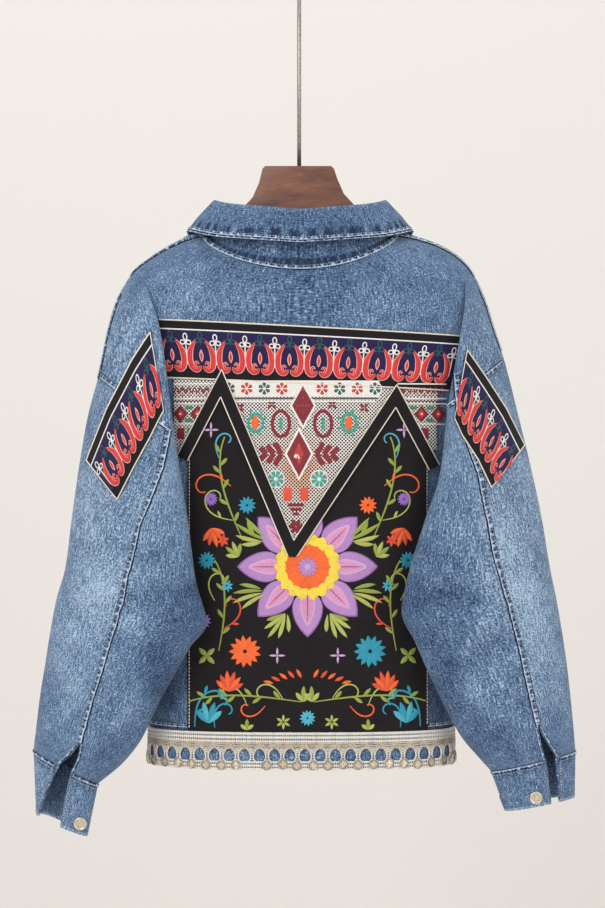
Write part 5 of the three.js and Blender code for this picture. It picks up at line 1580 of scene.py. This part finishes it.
def evenly(points, outward, pace):
    steps = np.concatenate([[0], np.cumsum(np.linalg.norm(np.diff(points, axis=0), axis=1))])
    at = np.arange(pace / 2, steps[-1], pace)
    again = lambda values: np.stack([np.interp(at, steps, values[:, k]) for k in range(3)], -1)
    normals = again(outward)
    return again(points), normals / np.linalg.norm(normals, axis=1)[:, None], at


def from_arrays(name, places, faces, uvs, finish, smooth=True):
    mesh = bpy.data.meshes.new(name)
    mesh.from_pydata((places * MM).tolist(), [], faces.tolist())
    cloth_uv(mesh, *uvs.T)
    piece = bpy.data.objects.new(name, mesh)
    bpy.context.collection.objects.link(piece)
    mesh.materials.append(finish)
    if smooth:
        choose(piece)
        bpy.ops.object.shade_smooth()
    return piece


def rib(points, outward, width, height, lean, pucker=0.35):
    points, outward, at = evenly(points, outward, 1.6)
    along = np.gradient(points, axis=0)
    along /= np.linalg.norm(along, axis=1)[:, None]
    aside = np.cross(along, outward)
    # Painted shade on the rib: across darkens both its feet and gives a pale worn line at its folded edge; rope pales
    # the rises and darkens the dips of the puckers.
    t, dome, across, rope = np.array([
        [-1, -0.8, -0.28, 0.26, 0.56, 0.66, 1], [-0.4, 0.6, 1, 1, 0.8, 0.6, 0.05],
        [-0.9, -0.45, -0.2, 0.1, 0.8, -0.6, -1.6], [0.3, 0.8, 0.8, 0.5, 0, 0, 0]])[:, ::lean]
    t = t * lean
    wave = 1 + pucker * np.sin(at * 1.05 + 2.3 * np.sin(at * 0.13)) * np.cos(at * 0.31)
    spread = 1 + 0.1 * np.sin(at * 0.9 + np.sin(at * 0.21) * 3)
    places = (points[:, None] + aside[:, None] * (t[None, :, None] * (width / 2) * spread[:, None, None])
              + outward[:, None] * (dome[None, :, None] * height * wave[:, None, None]))
    n, m = len(at), len(t)
    first = np.arange(n - 1)[:, None] * m + np.arange(m - 1)[None, :]
    faces = np.stack([first, first + m, first + m + 1, first + 1], -1).reshape(-1, 4)
    uvs = np.stack([np.tile(t * width / 2, (n, 1)), np.repeat(at[:, None], m, 1)], -1).reshape(-1, 2) * MM
    rib_shading = across[None, :] + rope[None, :] * (wave - 1)[:, None] / pucker
    return places.reshape(-1, 3), faces, uvs, rib_shading.ravel()


STITCH = np.array([(-1, 0, -0.2)] + [(x, r * c, r * s + 0.1) for x, r in ((-0.62, 0.8), (0, 1), (0.62, 0.8))
                                     for c, s in ((1, 0), (0, 1), (-1, 0), (0, -1))] + [(1, 0, -0.2)])
STITCH_FACES = ([(0, 1 + (k + 1) % 4, 1 + k) for k in range(4)]
                + [(1 + 4 * r + k, 1 + 4 * r + (k + 1) % 4, 5 + 4 * r + (k + 1) % 4,
                        5 + 4 * r + k) for r in range(2) for k in range(4)]
                + [(9 + k, 9 + (k + 1) % 4, 13) for k in range(4)])


class StitchRows:
    def __init__(self):
        self.places, self.count = [], 0

    def sew(self, points, outward, offset=0.0, lift=0.0, pitch=3.1, length=2.2, width=0.62):
        points, outward, at = evenly(points, outward, pitch)
        along = np.gradient(points, axis=0)
        along /= np.linalg.norm(along, axis=1)[:, None]
        aside = np.cross(along, outward)
        centre = points + aside * offset + outward * lift
        parts = (along[:, None] * STITCH[None, :, 0:1] * length / 2 + aside[:, None] * STITCH[None, :, 1:2] * width / 2
                 + outward[:, None] * STITCH[None, :, 2:3] * width / 2)
        self.places.append((centre[:, None] + parts).reshape(-1, 3))
        self.count += len(at)

    def tie_off(self, name, finish):
        places = np.concatenate(self.places)
        starts = np.arange(self.count) * len(STITCH)
        faces = [tuple(start + i for i in face) for start in starts for face in STITCH_FACES]
        mesh = bpy.data.meshes.new(name)
        mesh.from_pydata((places * MM).tolist(), [], faces)
        piece = bpy.data.objects.new(name, mesh)
        bpy.context.collection.objects.link(piece)
        mesh.materials.append(finish)
        choose(piece)
        bpy.ops.object.shade_smooth()
        print(f"{name}: {self.count} stitches")
        return piece


# %% The seams of the jacket
ribs, blue_rows = [], StitchRows()
upright = lambda here: here * np.array([0, 0, 1])


def lay_seam(points, outward, width=8.2, height=1.1, rows=(-2.0, 2.2), ribbed=True, lean=1):
    if ribbed:
        ribs.append(rib(points, outward, width, height, lean))
    for offset in rows:
        blue_rows.sew(points, outward, offset, height * 0.95 if ribbed else 0.25)


for hand in SLEEVES:
    sign = -1 if hand == "left" else 1
    sleeve_form = lambda angle, station, h=hand: section_place(sleeve_row(h, station), angle)

    def sleeve_axis(here, h=hand):
        stations = np.linspace(0, LAST, 60)
        row = sleeve_row(h, stations)
        centres = np.stack([(row[0] + row[3]) / 2, (row[2] + row[5]) / 2, (row[1] + row[4]) / 2], -1)
        nearest = np.argmin(np.abs(centres[None, :, 2] - here[:, None, 2]), axis=1)
        return centres[nearest]
    stations = np.linspace(UNDER_STARTS[hand] + 0.3, SLIT_TOP[hand], 120)
    lay_seam(*surface_line(sleeve_form, sleeve_axis, seam_angle(hand, stations, 0), stations, 0.1), lean=sign)
    for edge in (0, 1):
        stations = np.linspace(SLIT_TOP[hand], LAST - 0.05, 40)
        inset = (-0.05, 0.05)[edge]
        lay_seam(*surface_line(sleeve_form, sleeve_axis, seam_angle(hand, stations, edge) + inset, stations, 0.05),
                3.4, 0.7, (0,))
    edge = shoulder_edge(hand)
    cap_stations = np.linspace(0.15, 3.1 if hand == "left" else 2.7, 60)
    lay_seam(*surface_line(sleeve_form, sleeve_axis, edge(cap_stations) + 0.02, cap_stations, 0.1), 9.0, 1.2)
    line = ARMHOLE[hand]
    share = np.linspace(0.04, 0.97, 90)
    x, z = along_line(line, share)
    inside = np.abs(x) < (224 if hand == "left" else 226)
    x, z = x[inside], z[inside]
    here = on_sleeve[hand](x, z + 1.5, 0.1)
    out = on_sleeve[hand](x, z + 1.5, 1.1) - here
    lay_seam(here, out, 7.0, 0.9)
    # shoulder seam on the body, from the neck to the cap
    levels = np.linspace(-292.5, -345, 50)
    angle = np.pi + side_angle(levels) if hand == "left" else 2 * np.pi - side_angle(levels)
    lay_seam(*surface_line(body_place, upright, angle, levels, 0.2), 9.0, 1.2)
    # cuff: rows along its upper and lower edges
    above, below = SLEEVES[hand][-1], CUFF_EDGE[hand]

    def cuff_form(across, down, a=above, b=below, h=hand):
        row = [mix(p, q, down) for p, q in zip(a[:8], b[:8])]
        turn = lambda value: np.arccos(1 - 2 * value)
        (ga0, ga1), (gb0, gb1) = CUFF_GAP[h]
        start, end = turn(mix(ga1, gb1, down)), turn(mix(ga0, gb0, down)) + 2 * np.pi
        return section_place(row, mix(start, end, across))
    across = np.linspace(0.015, 0.985, 160)
    for down, ribbed in ((0.03, True), (0.1, False), (0.95, False)):
        points, outward = surface_line(cuff_form, sleeve_axis, across, np.full(across.shape, down), 0.3)
        lay_seam(points, outward, 4.2, 0.9, (0,), ribbed)
    down = np.linspace(0.1, 0.95, 30)
    for share in (0.014, 0.986):
        points, outward = surface_line(cuff_form, sleeve_axis, np.full(down.shape, share), down, 0.3)
        lay_seam(points, outward, 4.2, 0.9, (0,), False)

# collar: a puckered rib near the fall's edge, a row at its very edge, and the stand's foot
across = np.linspace(0.01, 0.99, 420)
for down, width, height, rows in ((0.9, 5.0, 0.7, (-1.4, 1.4)), (0.985, 2.6, 0.9, ())):
    points, outward = surface_line(fall_place, upright, across, np.full(across.shape, down), 0.1)
    lay_seam(points, outward, width, height, rows)
angles = np.linspace(np.pi * 1.03, np.pi * 1.97, 260)
neck_x, neck_y = neck_place(angles, -4.5)
neck_points = np.stack([neck_x, neck_y, body_height(neck_x, neck_y)], -1)
tilt = np.stack([neck_x * 0.3, neck_y, np.full(neck_x.shape, 26.0)], -1)
tilt /= np.linalg.norm(tilt, axis=1)[:, None]
lay_seam(neck_points + tilt * 0.3, tilt, 6.0, 1.0)
# body: the two rows above the waistband and the rows of the front strip
for side, angle_range in ((-1, (np.pi * 1.02, np.pi * 1.98)), (1, (0.02 * np.pi, 0.98 * np.pi))):
    angles = np.linspace(*angle_range, 240)
    for level in (-842.0,):
        points, outward = surface_line(body_place, upright, angles, np.full(angles.shape, level), 0.2)
        lay_seam(points, outward, 5.0, 0.8, (-1.5, 1.5))
z = np.linspace(-428, -842, 160)
for x in (-15.5, 15.5):
    here = on_front(np.full(z.shape, x), z, 2.7)
    lay_seam(here, on_front(np.full(z.shape, x), z, 3.7) - here, 3, 0.5, (0,), False)

offset, places, faces, uvs, rib_shading = 0, [], [], [], []
for part_places, part_faces, part_uvs, part_rib_shading in ribs:
    rib_shading.append(part_rib_shading)
    places.append(part_places)
    faces.append(part_faces + offset)
    uvs.append(part_uvs)
    offset += len(part_places)
welts = from_arrays("seam_ribs", np.concatenate(places), np.concatenate(faces), np.concatenate(uvs), welt_denim)
mark(welts.data, "fade_and_shade", np.concatenate(rib_shading))
mark(welts.data, "worn", np.zeros(len(welts.data.vertices)))
pieces["seam_ribs"] = finished(welts)
pieces["seam_stitches"] = finished(blue_rows.tie_off("seam_stitches", thread.material))
print("ribs:", len(welts.data.polygons) * 2, "triangles")

# %% [markdown]
# ## Coin lace and buttons
#
# The lace is crocheted flat as a strip. Along its top runs a close band, under it stand pairs of bars
# that lean together like the letter Y, with a pointed arch of bare denim between two pairs, and a
# second close band ties their feet. A stamped coin hangs from the foot of each pair. The strip is
# written as crossing and parallel lines on a flat chart and then laid round the hem.

# %% The way round the hem, by length of cloth
LACE_TOP, LACE_PITCH, LACE_LIFT = -847.5, 16.6, 2.6
way_round = np.linspace(0, 2 * np.pi, 2881)
hem_ring = body_place(way_round, np.full(way_round.shape, -868.0))
hem_run = np.concatenate([[0], np.cumsum(np.linalg.norm(np.diff(hem_ring, axis=0), axis=1))])
HEM_ROUND = hem_run[-1]
LACE_REPEATS = round(HEM_ROUND / LACE_PITCH)
print(f"hem {HEM_ROUND:.0f} mm round, {LACE_REPEATS} arches")


def on_hem(along, z, lift):
    """A place on the lace: millimetres of cloth round the hem, height and lift off the waistband."""
    along, z, lift = np.broadcast_arrays(np.asarray(along, float), np.asarray(z, float), np.asarray(lift, float))
    angle = np.interp(along.ravel() % HEM_ROUND, hem_run, way_round)
    level = z.ravel()
    here = body_place(angle, level)
    step = body_place(angle + 0.002, level) - here
    out = np.stack([step[:, 1], -step[:, 0], np.zeros(len(step))], -1)
    out /= np.linalg.norm(out, axis=1)[:, None]
    return here + out * lift.ravel()[:, None]


# %% Crocheted lines: each is a low cord on the chart
class Crochet:
    def __init__(self):
        self.places, self.faces, self.uvs, self.count = [], [], [], 0

    def cord(self, line, width, rise=1.0, raised=0.0, bumps=0.0):
        line = np.asarray(line, float)
        way = np.gradient(line, axis=0)
        way /= np.hypot(*way.T)[:, None]
        aside = np.stack([-way[:, 1], way[:, 0]], -1)
        run = np.concatenate([[0], np.cumsum(np.hypot(*np.diff(line, axis=0).T))])
        t = np.array([-1, -0.7, 0, 0.7, 1])
        dome = np.array([-0.8, 0.5, 1, 0.5, -0.8])
        knots = 1 + bumps * np.sin(run * 2 * np.pi / 2.2)
        spots = line[:, None] + aside[:, None] * (t[None, :, None] * width / 2 * knots[:, None, None])
        lift = LACE_LIFT + raised + dome[None, :] * rise * knots[:, None]
        self.places.append(on_hem(spots[..., 0], spots[..., 1], lift))
        first = self.count + np.arange(len(line) - 1)[:, None] * 5 + np.arange(4)[None, :]
        self.faces.append(np.stack([first, first + 5, first + 6, first + 1], -1).reshape(-1, 4))
        self.uvs.append(np.stack([np.repeat(run, 5), np.tile(t * width / 2, len(line))], -1) * MM)
        self.count += len(line) * 5


def straight(a, b, pace=1.1):
    count = max(2, int(math.dist(a, b) / pace) + 1)
    return mix(np.array(a, float), np.array(b, float), np.linspace(0, 1, count)[:, None])


lace = Crochet()
pitch = HEM_ROUND / LACE_REPEATS
ROWS = ((-848.6, 2.5), (-852.9, 2.4), (-857.3, 2.2), (-879.8, 2.0), (-883.6, 2.2), (-887.4, 2.4))
for height, width in ROWS:
    lace.cord(straight((0, height), (HEM_ROUND, height), 1.1), width, 0.8, 0.1, 0.08)
beige = Crochet()
steps = np.linspace(0, HEM_ROUND, LACE_REPEATS * 14 + 1)
for j in range(4):
    dip = (1 + np.cos(2 * np.pi * steps / pitch)) / 2
    beige.cord(np.stack([steps, -859.4 - 1.7 * j - (0.3 + 0.9 * j) * dip], -1), 2.0, 0.8, 0.1, 0.1)
for repeat in range(LACE_REPEATS):
    foot = (repeat + 1) * pitch
    for tick in range(7):
        x = foot + (tick - 3) * pitch / 7
        for high, low in ((-849.4, -852.2), (-853.8, -856.6), (-880.6, -883.0), (-884.4, -886.8)):
            lace.cord(straight((x, high), (x, low)), 1.0, 0.55)
    for hand in (-1, 1):
        bar = [(foot + hand * 5.4, -864.6), (foot + hand * 2.6, -869), (foot + hand * 1.5, -873.5),
                (foot + hand * 2.2, -877), (foot + hand * 4.6, -880)]
        lace.cord(smooth_line(bar, 15), 1.5, 0.95, 0.1, 0.12)
        lace.cord(smooth_line([(foot + hand * 1.6, -865.5), (foot + hand * 0.7, -871)], 6), 1.1, 0.8, 0.05)
    for rung in range(5):
        z = -866.4 - 2.7 * rung
        reach = (3.6, 2.4, 1.8, 1.6, 2.2)[rung]
        lace.cord(straight((foot - reach, z), (foot + reach, z)), 0.9, 0.7, 0.2)
for name, work, yarn in (("coin_lace", lace, white_crochet), ("lace_scallops", beige, beige_crochet)):
    work_piece = from_arrays(name, np.concatenate(work.places), np.concatenate(work.faces),
            np.concatenate(work.uvs), yarn)
    pieces[name] = finished(work_piece, ["lace_back", "lace_front"] if name == "coin_lace" else [])
    print(name, len(work_piece.data.polygons) * 2, "triangles")


# %% Coins and buttons are turned on a lathe: a profile spun round an axis
def turned(profile, sides):
    """Vertices and faces of a profile (radius, height) spun round the z axis."""
    radii, heights = np.array(profile, float).T
    turns = np.linspace(0, 2 * np.pi, sides, endpoint=False)
    ring = np.stack([np.cos(turns), np.sin(turns)], -1)
    places = np.concatenate([np.column_stack([ring * radius, np.full(sides, height)]) for radius,
            height in zip(radii, heights)])
    k = np.arange(sides)
    faces = [np.stack([r * sides + k, r * sides + (k + 1) % sides, (r + 1) * sides + (k + 1) % sides,
            (r + 1) * sides + k], -1)
             for r in range(len(profile) - 1)]
    return places, np.concatenate(faces)


def set_out(name, shape, centres, axes, finish, nodes=(), patina=0.5):
    """One mesh with the turned shape at every centre, its axis along the given direction."""
    places, faces = shape
    all_places, all_faces, all_uvs = [], [], []
    for k, (centre, axis) in enumerate(zip(centres, axes)):
        axis = axis / np.linalg.norm(axis)
        aside = np.cross(axis, (0.0, 0.0, 1.0))
        aside /= np.linalg.norm(aside)
        up = np.cross(aside, axis)
        all_places.append(centre + places[:, :1] * aside + places[:, 1:2] * up + places[:, 2:3] * axis)
        all_faces.append(faces + k * len(places))
        all_uvs.append(places[:, :2] * MM + k * 0.017)
    piece = from_arrays(name, np.concatenate(all_places), np.concatenate(all_faces), np.concatenate(all_uvs), finish)
    reach, turn = np.hypot(places[:, 0], places[:, 1]), np.arctan2(places[:, 1], places[:, 0])
    stamped = 0.35 + 0.35 * np.cos(7 * turn + 1.3 * np.sin(3 * turn))
    shade = np.where(reach < 1.8, 0.1, np.where(reach < 4.2, stamped, np.where(reach < 5.0, 0.85, 0.12)))
    mark(piece.data, "patina", np.tile(shade * patina, len(centres)))
    return finished(piece, nodes)


COIN = [(0.01, 0.55), (1.2, 0.62), (1.6, 0.45), (2.6, 0.45), (3.0, 0.62), (3.5, 0.5), (4.5, 0.42), (4.9, 0.75),
        (5.5, 0.8), (5.75, 0.55), (5.75, 0.1), (5.2, 0.0), (0.01, 0.0)]
coin_centres, coin_axes, lean = [], [], random.Random(7)
for repeat in range(LACE_REPEATS):
    s = (repeat + 1) * pitch + lean.uniform(-0.9, 0.9)
    z = -882.6 + lean.uniform(-1.0, 1.0)
    centre = on_hem([s], [z], [LACE_LIFT + 1.3])[0]
    out = on_hem([s], [z], [LACE_LIFT + 2.3])[0] - centre
    if abs(centre[0] + 53.2) < 8.5 and centre[1] < 0:
        continue
    coin_centres.append(centre)
    coin_axes.append(out + np.array([lean.uniform(-0.1, 0.1), 0, lean.uniform(-0.12, 0.12)]))
pieces["coins"] = set_out("coins", turned(COIN, 28), coin_centres, coin_axes, coin_metal, patina=0.8)
print("coins:", len(coin_centres))

BUTTON = [(0.01, 2.7), (1.6, 2.75), (2.6, 2.45), (3.4, 2.3), (4.6, 2.45), (5.6, 2.5), (6.4, 3.0), (7.2, 3.1),
        (7.9, 2.75), (8.1, 2.2), (7.6, 1.6), (5.0, 1.3), (2.2, 1.2), (2.0, 0.0), (0.01, 0.0)]
front_heights = (-462, -551, -640, -729, -818)
for k, z in enumerate(front_heights, 1):
    centre = on_front([0.0], [float(z)], [3.0])[0]
    pieces[f"front_button_{k}"] = set_out(f"shank_button_{k}", turned(BUTTON, 40), [centre],
            [np.array([0.0, 1, 0])], coin_metal, [f"front_button_{k}"])


def cuff_depth(hand, x, z):
    """How far back the cuff's outside stands at a place seen from behind."""
    row, share = [mix(a, b, 0.5) for a, b in zip(SLEEVES[hand][-1][:8], CUFF_EDGE[hand][:8])], 0.5
    for _ in range(12):
        share = float(np.clip((x - row[0]) / (row[3] - row[0]), 0.01, 0.99))
        top = mix(SLEEVES[hand][-1][1], SLEEVES[hand][-1][4], share)
        foot = mix(CUFF_EDGE[hand][1], CUFF_EDGE[hand][4], share)
        down = np.clip((top - z) / (top - foot), 0, 1)
        row = [mix(a, b, down) for a, b in zip(SLEEVES[hand][-1][:8], CUFF_EDGE[hand][:8])]
    return float(section_place(row, np.arccos(1 - 2 * share))[1])


for hand, (x, z) in {"left": (-241, -949), "right": (259, -921)}.items():
    centre = np.array([x, cuff_depth(hand, x, z) - 0.6, z], float)
    small = [(radius * 0.88, height * 0.9) for radius, height in BUTTON]
    pieces[f"cuff_button_{hand}"] = set_out(f"small_button_{hand}", turned(small, 36), [centre],
            [np.array([0.0, -1, 0])], coin_metal, [f"cuff_button_{hand}"])

# %% [markdown]
# ## Hanger
#
# The wood and the rod keep the frame's own shapes, which are already a plain hanger. A copy with
# rounded edges stands for the wood, because a real hanger is sanded all over.

# %% Hanger
def smoothed_copy(node, name, width, finish):
    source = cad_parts[node]
    choose(source)
    bpy.ops.object.duplicate()
    piece = bpy.context.object
    piece.name = name
    piece.data = piece.data.copy()
    piece.parent = None
    piece.matrix_world = source.matrix_world.copy()
    settle(piece)
    bpy.ops.object.mode_set(mode="EDIT")
    bpy.ops.mesh.select_all(action="SELECT")
    bpy.ops.mesh.remove_doubles(threshold=0.00002)
    bpy.ops.mesh.normals_make_consistent(inside=False)
    bpy.ops.object.mode_set(mode="OBJECT")
    if width:
        edge = piece.modifiers.new("rounded", "BEVEL")
        edge.width, edge.segments, edge.limit_method, edge.angle_limit = width * MM, 3, "ANGLE", math.radians(35)
        bpy.ops.object.modifier_apply(modifier="rounded")
    bpy.ops.object.shade_smooth_by_angle(angle=math.radians(50))
    piece.data.materials.clear()
    piece.data.materials.append(finish)
    return finished(piece, [node])


pieces["hanger_wood"] = smoothed_copy("hanger_wood", "hanger_arms", 2.2, wood.material)
pieces["hanger_hook"] = smoothed_copy("hanger_hook", "hanger_rod", 0, rod_steel)

# %% [markdown]
# ## The room, the light and the camera
#
# The jacket hangs free before a pale wall, lit softly from the camera's side so that the thread and
# the creases show without hard shadows.

# %% Wall, light and camera
def room_plane(name, size, place, turn, colour_a, colour_b):
    bpy.ops.mesh.primitive_plane_add(size=size, location=place, rotation=turn)
    plane = bpy.context.object
    plane.name = name
    paint = Finish(name, Roughness=0.95, Specular_IOR_Level=0.1)
    paint.colour(paint.blend(paint.noise(paint.in_space(0.7), 1, 2), colour_a, colour_b))
    plane.data.materials.append(paint.material)
    return plane


wall = room_plane("wall", 9, (0, 1.5, 0), (math.pi / 2, 0, 0), light(230, 227, 222), light(234, 231, 226))
floor = room_plane("floor", 9, (0, -1.5, -1.75), (0, 0, 0), light(248, 238, 233), light(251, 241, 236))

world = bpy.context.scene.world or bpy.data.worlds.new("room")
bpy.context.scene.world = world
world.use_nodes = True
world.node_tree.nodes["Background"].inputs["Color"].default_value = light(250, 250, 252)
world.node_tree.nodes["Background"].inputs["Strength"].default_value = 0.75

for name, place, aim, size, power in (
    ("key", (-1.6, -2.4, 0.9), (0, 0, -0.5), 1.6, 34),
    ("fill", (1.9, -2.2, 0.2), (0, 0, -0.6), 1.8, 17),
    ("wall_wash", (0, 0.6, 1.8), (0, 1.5, -0.3), 2.4, 15),
):
    lamp = bpy.data.lights.new(name, "AREA")
    lamp.size, lamp.energy = size, power
    holder = bpy.data.objects.new(name, lamp)
    bpy.context.collection.objects.link(holder)
    holder.location = place
    direction = np.array(aim) - np.array(place)
    holder.rotation_euler = Vector(direction).to_track_quat("-Z", "Y").to_euler()

camera = bpy.data.cameras.new("camera")
camera.sensor_fit, camera.sensor_height, camera.sensor_width = "VERTICAL", 36, 24
camera.lens = 93.7
holder = bpy.data.objects.new("camera", camera)
bpy.context.collection.objects.link(holder)
holder.location = (0.00275, -2.66, -0.5434)
holder.rotation_euler = (math.pi / 2, 0, 0)
bpy.context.scene.camera = holder
bpy.context.scene.view_settings.view_transform = "Standard"
